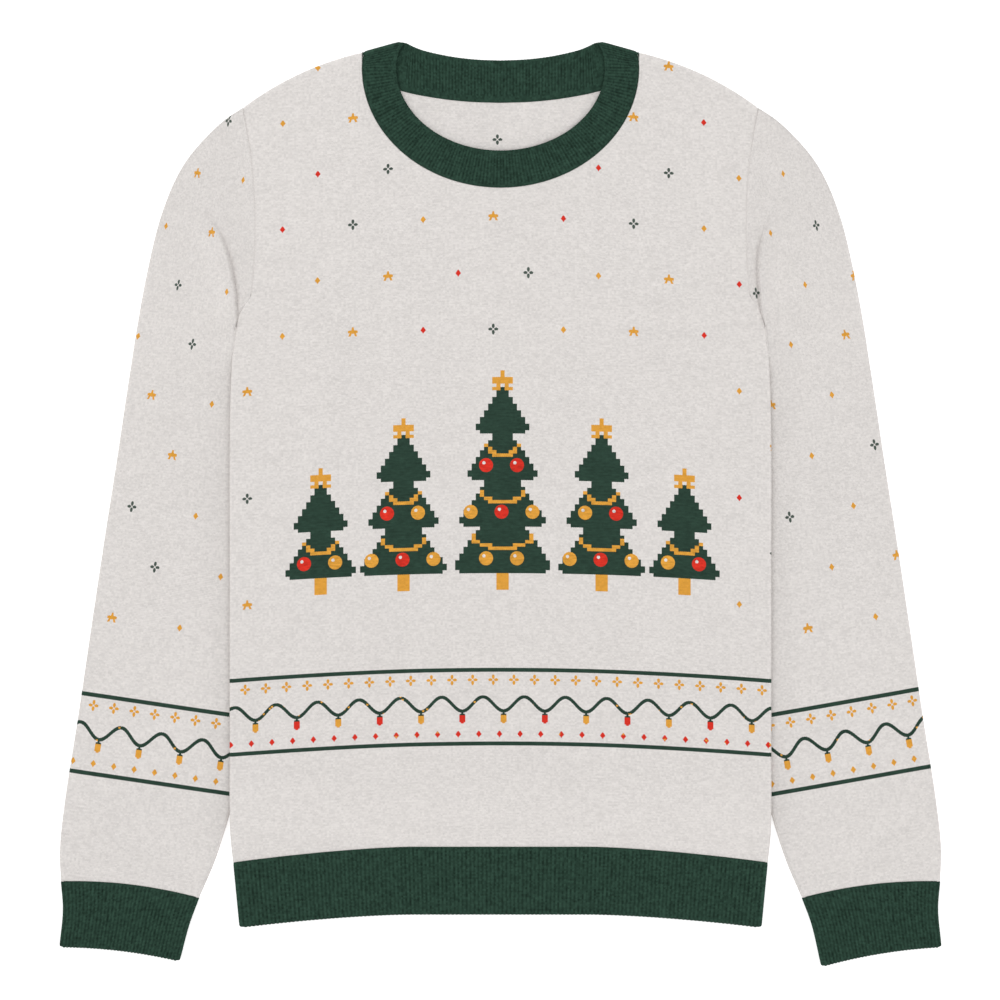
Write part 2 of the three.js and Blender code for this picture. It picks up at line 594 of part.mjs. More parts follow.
function backCollarSections(seamStart, edgeStart) {
  const seamLine = through([seamStart, ...BACK_NECK_SEAM.slice(1)]);
  const edgeLine = through([edgeStart, ...BACK_NECK_EDGE.slice(1)]);
  const length = (seamLine.getLength() + edgeLine.getLength()) / 2;
  const spans = 2 * Math.round(length / COLLAR_RIB_PITCH);
  const down = UP.clone().negate();
  const sections = [];
  for (let k = 0; k <= spans; k++) {
    sections.push({
      seam: seamLine.getPointAt(k / spans).setZ(COLLAR_BACK_MID),
      edge: edgeLine.getPointAt(k / spans).setZ(COLLAR_BACK_MID),
      normal: down,
    });
  }
  return sections;
}

function neckband(name) {
  const shoulderPart = shoulderCollarSections();
  const half = [
    ...frontCollarSections(),
    ...shoulderPart.sections,
    ...backCollarSections(shoulderPart.seamEnd, shoulderPart.edgeEnd),
  ];
  const mirror = (section) => ({
    seam: mirrored(section.seam),
    edge: mirrored(section.edge),
    normal: mirrored(section.normal),
  });
  const otherHalf = half.slice(1, -1).map(mirror).reverse();
  const outer = [[], []];
  const inner = [[], []];
  [...half, ...otherHalf].forEach(({ seam, edge: free, normal }, k) => {
    const across = free.clone().sub(seam).normalize();
    const start = seam.clone().addScaledVector(across, SEAM_GAP / 2);
    const isCrest = k % 2 === 1;
    // ribs stand on the face that shows: the outside in front, the inside behind the neck
    const facesDown = normal.z < 0;
    const showsInside = facesDown && Math.abs(free.x) < COLLAR_COVERED_X;
    const outerRib = isCrest && !facesDown ? COLLAR_RIB_HEIGHT : 0;
    const innerRib = isCrest && showsInside ? COLLAR_RIB_HEIGHT : 0;
    [start, free].forEach((point, row) => {
      outer[row].push(point.clone().addScaledVector(normal, COLLAR_WALL / 2 + outerRib));
      inner[row].push(point.clone().addScaledVector(normal, -COLLAR_WALL / 2 - innerRib));
    });
  });
  return piece(name, COLOURS.rib, closedWall(outer, inner, true));
}

const group = new THREE.Group();
group.name = "christmas_sweater";
group.add(bodyPanel("front_panel", frontNeckline(), STEPS.neck, 1, FRONT_MID, frontLift));
group.add(bodyPanel("back_panel", through(BACK_NECK_SEAM), STEPS.backNeck, -1, BACK_MID, backLift));
const hemSpans = 2 * Math.round((2 * SIDE_SEAM[0].x) / BAND_RIB_PITCH);
group.add(hemBand("hem_front", 1, BAND_FRONT_MID, frontLift, BAND_RIB_HEIGHT, hemSpans));
group.add(hemBand("hem_back", -1, BAND_BACK_MID, backLift, 0, HEM_BACK_SPANS));
group.add(sleeve("sleeve_left", 1, SLEEVE_FOLDS.left));
group.add(sleeve("sleeve_right", -1, SLEEVE_FOLDS.right));
group.add(cuff("cuff_left", 1, CUFF_END_INNER_Y.left));
group.add(cuff("cuff_right", -1, CUFF_END_INNER_Y.right));
group.add(neckband("neckband"));

export default group;
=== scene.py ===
"""A fine-knit christmas sweater, laid flat with its front up and its neck towards +Y.

Tables and curves are in millimetres and become metres in the meshes. Left and right are the wearer's,
so the left sleeve lies on the +X side. Outlines are given for the +X half and mirrored.
"""

import math
from dataclasses import dataclass

import bpy
import numpy as np
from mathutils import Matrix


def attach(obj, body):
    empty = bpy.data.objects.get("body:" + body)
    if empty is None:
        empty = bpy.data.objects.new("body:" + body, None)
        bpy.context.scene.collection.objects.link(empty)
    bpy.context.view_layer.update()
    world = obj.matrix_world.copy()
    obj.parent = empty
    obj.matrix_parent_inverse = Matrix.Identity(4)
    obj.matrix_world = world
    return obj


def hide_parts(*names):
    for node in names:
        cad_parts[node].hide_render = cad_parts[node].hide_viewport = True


bl_info = {
    "name": "Christmas sweater",
    "version": (1, 0, 0),
    "blender": (4, 5, 0),
    "location": "3D View > Sidebar > Sweater",
    "description": "Builds a knitted sweater laid flat, with ribbed bands, a charted pattern and linked seams",
    "category": "Object",
}

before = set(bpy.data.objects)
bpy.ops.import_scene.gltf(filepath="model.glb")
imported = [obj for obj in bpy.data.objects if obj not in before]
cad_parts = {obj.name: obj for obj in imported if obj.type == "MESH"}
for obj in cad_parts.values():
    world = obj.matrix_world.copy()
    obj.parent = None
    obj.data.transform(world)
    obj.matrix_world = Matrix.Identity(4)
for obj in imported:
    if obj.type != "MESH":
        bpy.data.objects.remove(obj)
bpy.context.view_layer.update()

MM = 0.001

# The stage, in metres. The floor glows a little, so contact shadows on it stay faint.
FLOOR_HALF, FLOOR_Z, FLOOR_GLOW = 6.0, -0.0003, 0.42
WORLD_STRENGTH = 0.84
LIGHTS = (
    # name, place, size, power
    ("key_light", (-1.5, 1.7, 2.4), 1.6, 27.5),
    ("fill_light", (1.9, -1.2, 2.6), 2.4, 20.5),
)
CAMERA_PLACE, CAMERA_LENS, CAMERA_SENSOR = (-0.0004, 0.0028, 2.2265), 100.0, 36.0

# Cloth: one layer of knit, one layer of ribbed band, the doubled neckband, and the room between layers.
KNIT_WALL = 2.0
BAND_WALL = 2.4
COLLAR_WALL = 2.8
SEAM_GAP = 0.3
LAYER_GAP = 0.6

# Middle heights of the layers where the sweater lies flat, and the height of the knit that shows.
FRONT_MID = KNIT_WALL * 1.5 + LAYER_GAP
FRONT_TOP = FRONT_MID + KNIT_WALL / 2
BACK_MID = KNIT_WALL / 2
BAND_FRONT_MID = KNIT_WALL + LAYER_GAP + BAND_WALL / 2
BAND_BACK_MID = BAND_WALL / 2
COLLAR_FRONT_MID = KNIT_WALL + LAYER_GAP + COLLAR_WALL / 2
COLLAR_TOP_MID = COLLAR_WALL + SEAM_GAP + COLLAR_WALL / 2
COLLAR_BACK_MID = COLLAR_WALL / 2

# The body rides over the sleeves that are tucked under its sides. The back climbs close to the tucked edge,
# over TUCK_RAMP inwards from it, and the front over a long slope of |x|. In y the lift starts at LIFT_BOTTOM and
# fades from LIFT_TOP to its end. At the underarm the sleeve goes further under by SLEEVE_TUCK.
TUCK_LIFT, TUCK_TOP, TUCK_RAMP = 5.0, 110, (48, 8)
FRONT_SLOPE, LIFT_BOTTOM, LIFT_TOP = (60, 168), (-300, -258), 172
BACK_TOP_END, FRONT_TOP_END = 240, 296
SLEEVE_TUCK = 5.0

# Body outline: side seam from the hem, armhole, shoulder and neck.
SIDE_SEAM = (
    (214.0, -287.4), (216.0, -262.0), (216.4, -180.0), (216.4, -60.0), (216.4, 42.8),
    (215.6, 90.0), (213.8, 125.2), (212.0, 141.5), (207.8, 153.8), (199.3, 166.5),
)
UNDERARM = (199.3, 166.5)
SHOULDER_TIP = (206.0, 317.0)
ARMHOLE_BOW = 5.9
NECK_CORNER = (110.4, 361.2)
SHOULDER_BOW = 5.0

# Hem: seam and bottom edge at the centre, and how far each falls to the sides.
HEM_SEAM_Y, HEM_SEAM_DROP = -275.0, 12.4
HEM_BOTTOM_Y, HEM_BOTTOM_DROP = -328.7, 10.6
HEM_BOTTOM_X = 209.2
HEM_CORNER = 5.0
HEM_FLAT_HALF, HEM_POWER = 70.0, 1.6

# Neck: half ellipses in front, given by their radii, and smooth lines behind.
NECK_CENTRE_Y = 348.4
NECK_SEAM = (110.4, 95.2)
NECK_EDGE = (83.4, 66.0)
COLLAR_PEAK = (78.8, 370.0)
BACK_NECK_SEAM = (
    (110.4, 361.2), (106.6, 349.0), (97.0, 338.6), (80.0, 331.0), (54.0, 325.4), (27.0, 322.2), (0.0, 321.2),
)
BACK_NECK_EDGE = (
    (78.8, 370.0), (75.2, 368.6), (71.0, 366.4), (65.0, 363.9), (58.8, 362.0), (40.0, 358.0),
    (20.0, 355.6), (0.0, 354.8),
)
# The neckband climbs over this range of angles, rises straight to its peak at the shoulder and folds over.
COLLAR_RISE, COLLAR_RISE_BEND = (0.6, 1.3), (83.2, 360.0)
PEAK_ROUNDING, BACK_EDGE_SPREAD, FOLD_RIBS = 1.6, 2.3, 3
# Behind the neck, ribs stand upright up to the first |x|, and what lies past the second is covered by the fold.
COLLAR_UPRIGHT_X, COLLAR_COVERED_X = 62.0, 74.8
# Rows of the neckband as shares of its width, and where the plain strip inside it gives way to ribs.
COLLAR_ROWS = (0.0, 0.03, 0.08, 0.12, 0.15, *np.linspace(0.2, 1, 7))
COLLAR_STRIP, COLLAR_MAP_WIDTH = (0.115, 0.155), 30.0

# Sleeve sections: outer edge, inner edge under the body, bow towards the neck, share of the underarm's lift.
SLEEVE_SECTIONS = (
    (206.0, 317.0, 199.3, 166.5, 5.9, 1.0),
    (221.2, 306.8, 204.9, 159.8, 5.0, 0.74),
    (238.0, 290.8, 209.0, 152.6, 4.0, 0.38),
    (251.2, 274.8, 212.2, 143.0, 2.5, 0.0),
    (261.8, 256.0, 210.0, 133.5, 1.0, 0.0),
    (272.8, 226.8, 198.0, 122.0, 0.0, 0.0),
    (280.8, 194.8, 186.0, 104.0, 0.0, 0.0),
    (288.8, 154.0, 178.6, 72.0, 0.0, 0.0),
    (297.6, 98.8, 176.6, 28.0, 0.0, 0.0),
    (307.2, 34.8, 178.8, -22.0, 0.0, 0.0),
    (317.2, -29.2, 183.4, -72.0, 0.0, 0.0),
    (326.8, -93.2, 190.0, -122.0, 0.0, 0.0),
    (338.6, -173.2, 203.6, -196.0, 0.5, 0.0),
    (348.6, -237.2, 217.6, -251.6, 1.0, 0.0),
    (352.8, -277.0, 228.6, -286.0, 3.0, 0.0),
    (352.0, -302.4, 241.2, -315.6, 4.0, 0.0),
)
CUFF_SECTIONS = {
    side: ((352.0, -302.7, 241.2, -315.9, 4.0, 0.0), (350.4, -325.0, 249.0, -337.0, 3.2, 0.0),
           (353.2, -354.6, 256.6, end_inner_y, 2.5, 0.0))
    for side, end_inner_y in (("right", -366.0), ("left", -370.4))
}
CUFF_CORNER = 4.0

# Creases of each sleeve: points of the line, height and width of the cloth that rolls up outside it,
# and how steeply the roll drops back to the line.
SLEEVE_CREASES = {
    "right": (
        ((204.0, 118.0), (208.2, 138.0), (209.8, 153.0), (211.6, 172.0), (214.8, 190.0), (219.2, 205.0),
         (225.8, 219.0), (236.0, 231.5), (252.0, 243.0), 4.2, 18.0, 2.4),
        ((214.0, 292.0), (224.0, 283.0), (236.0, 273.0), 0.7, 10.0, 5.0),
        ((208.0, 262.0), (222.0, 257.0), (236.0, 240.0), 1.0, 9.0, 6.0),
        ((318.0, -262.0), (300.0, -277.0), (268.0, -292.0), 1.0, 12.0, 9.0),
    ),
    "left": (
        ((206.0, 118.0), (207.6, 138.0), (207.0, 158.0), (205.4, 180.0), (205.8, 199.0), (208.8, 213.0),
         (213.6, 225.4), (219.8, 235.4), (231.0, 239.6), 4.0, 17.0, 2.4),
        ((216.0, 303.0), (226.0, 298.0), (236.0, 288.0), 0.7, 9.0, 5.0),
        ((330.0, -256.0), (306.0, -272.0), (282.0, -294.0), 0.9, 12.0, 9.0),
    ),
}

# Below the underarm the sleeve swells up against the body's edge: how high, where it starts and ends in y, and
# how far from that edge it starts and ends.
ARMPIT_RISE, ARMPIT_START, ARMPIT_END, ARMPIT_GAP = 3.3, (92, 136), (151, 166), (-2.2, 0.2, 0.5, 17)

# Painted light: how much lighter the knit is made over the sleeve caps and above the hem's seam, against the
# shade that falls on the cloth there.
CAP_PAINTED_LIGHT, CAP_RANGE = 0.045, (20, 200)
HEM_PAINTED_LIGHT, HEM_RANGE = 0.028, (205, 268)
# Painted shadow: how much darker the sleeves are made beside the body's edge that lies over them, and how much
# more near the hem.
EDGE_SHADE, LOW_EDGE_SHADE, EDGE_SHADE_WIDTH = 0.034, 0.03, 30
# Painted shade of a crease, in its groove and on the cloth inside it, and painted light on the roll beyond it.
GROOVE_PAINTED_SHADE, INSIDE_PAINTED_SHADE, ROLL_PAINTED_LIGHT = 0.09, 0.032, -0.03
GROOVE_WIDTH, GROOVE_DEPTH = 1.6, 0.28

# Soft swells of the cloth: their lengths, their height, and how much of them the front takes, with its gathers.
SWELL_LENGTHS, SWELL_HEIGHT, SWELL_LEVEL = (210.0, 150.0, 110.0, 84.0, 62.0), 0.9, 0.5
FRONT_SWELL, GATHER_HEIGHT, GATHER_RANGE = 0.8, 0.7, (150, 262)

# Edges that roll over, and edges that lie flat against a seam.
ROLL_RADIUS = (FRONT_MID - BACK_MID - SEAM_GAP) / 2
ROLLED_REACH = ROLL_RADIUS + KNIT_WALL / 2
FLAT_REACH = ROLL_RADIUS * math.pi / 2 + SEAM_GAP / 2

# How deep the outer face dips into a seam, and how fast that fades, in mm or as a share of the piece.
SEAM_DIP, SEAM_DIP_REACH, SLEEVE_DIP_SHARE = 0.45, 0.9, 0.0012
BAND_DIP, BAND_DIP_SHARE = 0.35, 0.03
COLLAR_DIP, COLLAR_DIP_SHARE = 0.5, 0.06

# Seam stitches: length, thickness and slant, and how deep a row of them sits in the knit.
STITCH_LENGTH, STITCH_THICKNESS, STITCH_TURN = 1.7, 0.9, math.radians(24)
ARMHOLE_SINK, BAND_SEAM_SINK, NECK_SINK = 0.45, 0.2, 0.1
RIB_ROUNDNESS = 0.7

# How finely the meshes are divided. Rows stand closer beside a seam.
SIDE_SAMPLES, ARMHOLE_SAMPLES, SHOULDER_SAMPLES, NECK_SAMPLES, ROLL_SAMPLES = 96, 40, 28, 40, 4
SIDE_LENGTH, SIDE_FIRST_ROWS = 455.0, (0.8, 2.4, 4.8)
SLEEVE_ROWS, SLEEVE_SPANS, SLEEVE_UNDER_SPANS, TURN_SPANS = 210, 84, 30, 6
SLEEVE_END_ROWS = (0.0006, 0.0018, 0.9994, 0.9982)
BAND_SHARES = np.array((0.0, 0.02, 0.05, *np.linspace(0.12, 1, 9)))
SPANS_PER_RIB = 6
# Angles of the rows that round a free edge, and the angle past which an edge is shaded sharp.
END_ROUNDING = np.linspace(0, 1.45, 6)[1:]
SHARP_ANGLE = math.radians(55)


# ---------------------------------------------------------------- curves


def smoothstep(value, low, high):
    share = np.clip((value - low) / (high - low), 0.0, 1.0)
    return share * share * (3 - 2 * share)


def mix(a, b, share):
    return a + (b - a) * share


def unit(vectors):
    return vectors / np.linalg.norm(vectors, axis=-1, keepdims=True)


def clockwise(ways):
    """Plane directions turned a quarter turn clockwise."""
    return unit(np.stack([ways[..., 1], -ways[..., 0]], axis=-1))


class Line:
    """A dense line of points, read by share of its length or by share of its knots."""

    def __init__(self, points):
        self.points = np.asarray(points, float)
        lengths = np.linalg.norm(np.diff(self.points, axis=0), axis=1)
        self.reached = np.concatenate([[0.0], np.cumsum(lengths)])
        self.length = self.reached[-1]
        self.knots = np.linspace(0, 1, len(self.points))
        self.ways = unit(np.gradient(self.points, self.reached, axis=0))

    def _read(self, table, places, at):
        return np.stack([np.interp(at, places, table[:, k]) for k in range(table.shape[1])], axis=-1)

    def at(self, shares):
        return self._read(self.points, self.reached / self.length, shares)

    def way(self, shares):
        return unit(self._read(self.ways, self.reached / self.length, shares))

    def at_knots(self, shares):
        return self._read(self.points, self.knots, shares)


def smooth_line(points, steps=40):
    """A centripetal Catmull-Rom line through the points."""
    p = np.asarray(points, float)
    p = np.vstack([2 * p[0] - p[1], p, 2 * p[-1] - p[-2]])
    t = np.linspace(0, 1, steps, endpoint=False)[:, None]
    dense = []
    for a, b, c, d in zip(p, p[1:], p[2:], p[3:]):
        before, span, after = (math.sqrt(math.dist(*pair)) for pair in ((a, b), (b, c), (c, d)))
        start = ((b - a) / before - (c - a) / (before + span) + (c - b) / span) * span
        end = ((c - b) / span - (d - b) / (span + after) + (d - c) / after) * span
        cubic = 2 * b - 2 * c + start + end
        square = -3 * b + 3 * c - 2 * start - end
        dense.append(b + start * t + square * t**2 + cubic * t**3)
    return Line(np.vstack([*dense, p[-2:-1]]))


def bent_line(start, bend, end, steps=80):
    """A quadratic curve from start to end, pulled towards bend."""
    start, bend, end = (np.asarray(p, float) for p in (start, bend, end))
    t = np.linspace(0, 1, steps + 1)[:, None]
    return Line((1 - t) ** 2 * start + 2 * t * (1 - t) * bend + t**2 * end)


def bowed_line(start, end, bow):
    """A line that is pulled sideways from its middle."""
    return bent_line(start, np.add(start, end) / 2 + bow, end)


def ellipse_points(radii, angles):
    """Points of the neck's half ellipse, by angle from its lowest point."""
    return np.stack([radii[0] * np.sin(angles), NECK_CENTRE_Y - radii[1] * np.cos(angles)], axis=-1)


SIDE_LINE = smooth_line(SIDE_SEAM)
ARMHOLE = bowed_line(UNDERARM, SHOULDER_TIP, (-2 * ARMHOLE_BOW, 0))
SHOULDER = bowed_line(SHOULDER_TIP, NECK_CORNER, (SHOULDER_BOW, 2 * SHOULDER_BOW))
FRONT_NECK = Line(
    np.vstack([
        np.linspace(NECK_CORNER, (NECK_SEAM[0], NECK_CENTRE_Y), 12, endpoint=False),
        ellipse_points(NECK_SEAM, np.linspace(math.pi / 2, 0, 160)),
    ])
)
BACK_NECK = smooth_line(BACK_NECK_SEAM)


# ---------------------------------------------------------------- how the layers lie


def lift_fade(y, top_end):
    return smoothstep(y, *LIFT_BOTTOM) * (1 - smoothstep(y, LIFT_TOP, top_end))


def tucked_edge(y):
    """|x| of the sleeve's hidden inner edge at a height y of the body."""
    rows = np.array([row for row in SLEEVE_SECTIONS if row[3] < TUCK_TOP])[::-1]
    return np.minimum(np.interp(y, rows[:, 3], rows[:, 2]), SIDE_SEAM[1][0])


def back_lift(x, y):
    edge = tucked_edge(y)
    across = smoothstep(np.abs(x), edge - TUCK_RAMP[0], edge - TUCK_RAMP[1])
    return TUCK_LIFT * across * lift_fade(y, BACK_TOP_END)


def front_lift(x, y):
    return TUCK_LIFT * smoothstep(np.abs(x), *FRONT_SLOPE) * lift_fade(y, FRONT_TOP_END)


def soft_swell(x, y, seed):
    """Low soft swells of cloth that doesn't lie quite flat, never below zero."""
    random = np.random.default_rng(seed)
    swell = np.zeros_like(x)
    for length in SWELL_LENGTHS:
        turn, phase = random.uniform(0, math.pi), random.uniform(0, 2 * math.pi)
        along = x * math.cos(turn) + y * math.sin(turn)
        swell = swell + length * np.sin(along * 2 * math.pi / length + phase)
    return np.clip(swell / sum(SWELL_LENGTHS) * SWELL_HEIGHT + SWELL_LEVEL, 0, None)


def hem_gathers(x, y):
    """Shallow upright waves where the hem band draws the knit in."""
    waves = 0.5 + 0.5 * np.sin(x / 21.0 + 1.2 * np.sin(x / 55.0) + y / 90.0)
    return waves * smoothstep(-y, *GATHER_RANGE)


def hem_fall(x, half_width):
    return (np.maximum(np.abs(x) - HEM_FLAT_HALF, 0) / (half_width - HEM_FLAT_HALF)) ** HEM_POWER


def hem_seam_y(x):
    return HEM_SEAM_Y - HEM_SEAM_DROP * hem_fall(x, SIDE_SEAM[0][0])


def hem_bottom_y(x):
    rounding = np.clip(HEM_CORNER - (HEM_BOTTOM_X - np.abs(x)), 0, HEM_CORNER)
    lifted = HEM_CORNER - np.sqrt(HEM_CORNER**2 - rounding**2)
    return HEM_BOTTOM_Y - HEM_BOTTOM_DROP * hem_fall(x, HEM_BOTTOM_X) + lifted


# ---------------------------------------------------------------- walls


@dataclass
class Wall:
    """A wall of cloth as matching grids: middle points, normals, half thicknesses, and the knit's own map."""

    middle: np.ndarray
    normal: np.ndarray
    outer_half: np.ndarray
    inner_half: np.ndarray
    map: np.ndarray
    closed: bool = False
    ribs: np.ndarray = None
    # painted light and shade of the outer face: above zero darkens it, below zero lightens it
    tone: np.ndarray = None

    def round_end(self, way, radius):
        """The last row is carried round to a soft edge in the given direction."""
        step = (radius * np.sin(END_ROUNDING))[:, None]
        shrink = np.cos(END_ROUNDING)[:, None]
        same = np.ones_like(step)[..., None]
        added = {
            "middle": self.middle[-1] + way * step[..., None],
            "normal": self.normal[-1] * same,
            "outer_half": self.outer_half[-1] * shrink,
            "inner_half": self.inner_half[-1] * shrink,
            "map": self.map[-1] + step[..., None] * (0.0, -1.0),
        }
        if self.ribs is not None:
            added["ribs"] = self.ribs[-1] * same
        for key, rows in added.items():
            setattr(self, key, np.concatenate([getattr(self, key), rows]))
        return self


def wall_object(name, wall, material):
    """The closed mesh of a wall, in metres, with its map and its rib numbers."""
    rows, columns = wall.middle.shape[:2]
    spans = columns if wall.closed else columns - 1
    outer = wall.middle + wall.normal * wall.outer_half[..., None]
    inner = wall.middle - wall.normal * wall.inner_half[..., None]
    points = np.concatenate([outer.reshape(-1, 3), inner.reshape(-1, 3)]) * MM

    i, j = np.meshgrid(np.arange(rows - 1), np.arange(spans), indexing="ij")
    i, j = i.ravel(), j.ravel()
    # map columns run one further than point columns, so a tube's last span keeps its own map
    corners = [(i, j), (i, j + 1), (i + 1, j + 1), (i + 1, j)]
    faces, maps = [], []

    def add(rows_of, columns_of, sides):
        index = [r * columns + c % columns + s * rows * columns for r, c, s in zip(rows_of, columns_of, sides)]
        faces.append(np.stack(index, axis=1))
        maps.append(np.stack([wall.map[r, c] for r, c in zip(rows_of, columns_of)], axis=1))

    add([c[0] for c in corners], [c[1] for c in corners], (0, 0, 0, 0))
    back = [corners[k] for k in (0, 3, 2, 1)]
    add([c[0] for c in back], [c[1] for c in back], (1, 1, 1, 1))
    k = np.arange(spans)
    first, last = np.zeros_like(k), np.full_like(k, rows - 1)
    add([first] * 4, [k, k, k + 1, k + 1], (0, 1, 1, 0))
    add([last] * 4, [k, k + 1, k + 1, k], (0, 0, 1, 1))
    if not wall.closed:
        k = np.arange(rows - 1)
        first, last = np.zeros_like(k), np.full_like(k, columns - 1)
        add([k, k + 1, k + 1, k], [first] * 4, (0, 0, 1, 1))
        add([k, k, k + 1, k + 1], [last] * 4, (0, 1, 1, 0))
    faces, maps = np.concatenate(faces), np.concatenate(maps)

    a, b, c, d = (points[faces[:, n]] for n in range(4))
    volume = np.einsum("ij,ij->", a, np.cross(b, c)) + np.einsum("ij,ij->", a, np.cross(c, d))
    if volume < 0:
        faces, maps = faces[:, ::-1], maps[:, ::-1]

    mesh = bpy.data.meshes.new(name)
    mesh.from_pydata(points.tolist(), [], faces.tolist())
    layer = mesh.uv_layers.new(name="knit")
    layer.data.foreach_set("uv", (maps.reshape(-1, 2) * MM).astype(np.float32).ravel())

    def store(key, outer_values, inner_values):
        """A number for each point of the outer face, then of the inner face."""
        values = np.concatenate([np.ravel(outer_values), np.ravel(inner_values)])
        mesh.attributes.new(key, "FLOAT", "POINT").data.foreach_set("value", values.astype(np.float32))

    # painted light and shade, stored for the outer face
    if wall.tone is not None:
        store("fold_tone", wall.tone, 0 * wall.tone)
    if wall.ribs is not None:
        number, on_outer, on_inner, sunk = np.moveaxis(wall.ribs, -1, 0)
        store("rib_number", number, number)
        store("rib_outer", on_outer, 0 * on_outer)
        store("rib_inner", 0 * on_inner, on_inner)
        store("rib_sunk", sunk, 0 * sunk)
    mesh.polygons.foreach_set("use_smooth", np.ones(len(faces), bool))
    mesh.set_sharp_from_angle(angle=SHARP_ANGLE)
    mesh.materials.append(material)
    mesh.update()
    piece = bpy.data.objects.new(name, mesh)
    bpy.context.collection.objects.link(piece)
    return piece


@dataclass
class Edge:
    """Samples of an outline: plane points, outward directions, and how far the edge rolls over, 0 to 1."""

    point: np.ndarray
    out: np.ndarray
    roll: np.ndarray

    @classmethod
    def along(cls, line, shares, roll):
        rolls = np.broadcast_to(roll, shares.shape).astype(float)
        return cls(line.at(shares), clockwise(line.way(shares)), rolls)

    def then(self, other):
        """This edge and the next one, which starts at this one's last point."""
        keys = ("point", "out", "roll")
        return Edge(*(np.concatenate([getattr(self, key), getattr(other, key)[1:]]) for key in keys))

    def inset(self):
        reach = mix(FLAT_REACH, ROLLED_REACH, self.roll)
        return self.point - self.out * reach[:, None]


def corner_inset(corner, out_a, out_b, inset_a, inset_b):
    """The point that lies a given distance inside each of two edges that meet at a corner."""
    skew = out_a @ out_b
    along_a = (skew * inset_b - inset_a) / (1 - skew**2)
    along_b = (skew * inset_a - inset_b) / (1 - skew**2)
    return np.asarray(corner) + out_a * along_a + out_b * along_b


def roll_step(share, roll):
    """One step of an edge strip: how far out it goes, how far it turns in, and the wall's tilt there."""
    turn = share * math.pi / 2
    tilt = turn * roll
    safe = np.maximum(roll, 1e-3)
    out = np.where(roll > 1e-3, ROLL_RADIUS * np.sin(tilt) / safe, ROLL_RADIUS * turn)
    drop = np.where(roll > 1e-3, ROLL_RADIUS * (1 - np.cos(tilt)) / safe, 0.0)
    return out, drop, tilt


def body_outline(neckline):
    """Side and top edge of half a panel, and the lines inside them where their strips of roll steps start."""
    first_rows = np.divide(SIDE_FIRST_ROWS, SIDE_LENGTH)
    side_shares = np.unique(np.concatenate([np.linspace(0, 1, SIDE_SAMPLES + 1), first_rows]))
    side = Edge.along(SIDE_LINE, side_shares, 1 - smoothstep(side_shares, 0.984, 1.0))
    side = side.then(Edge.along(ARMHOLE, np.linspace(0, 1, ARMHOLE_SAMPLES + 1), 0.0))
    top = Edge.along(SHOULDER, np.linspace(0, 1, SHOULDER_SAMPLES + 1), 1.0)
    neck = Edge.along(neckline, np.linspace(0, 1, NECK_SAMPLES + 1), 0.0)
    corner_point = np.array(NECK_CORNER)
    neck_corner = corner_inset(corner_point, top.out[-1], neck.out[0], ROLLED_REACH, FLAT_REACH)
    top = top.then(neck)
    top.point[SHOULDER_SAMPLES] = corner_point

    tip = corner_inset(SHOULDER_TIP, side.out[-1], top.out[0], FLAT_REACH, ROLLED_REACH)
    side_line, top_line = side.inset(), top.inset()
    side_line[-1] = top_line[0] = tip
    top_line[SHOULDER_SAMPLES] = neck_corner
    top.out[SHOULDER_SAMPLES] = (corner_point - neck_corner) / ROLLED_REACH
    top_line[-1, 0] = 0.0
    side_line[0, 1] = hem_seam_y(side_line[0, 0]) + SEAM_GAP / 2
    # at the shoulder tip each strip goes on along the other edge, so the corner stays sharp
    along_armhole, along_shoulder = ARMHOLE.way(1.0), -SHOULDER.way(0.0)
    side_out, top_out = side.out[-1].copy(), top.out[0].copy()
    top.out[0] = along_armhole / (along_armhole @ top_out)
    side.out[-1] = along_shoulder / (along_shoulder @ side_out)
    return side, top, side_line, top_line


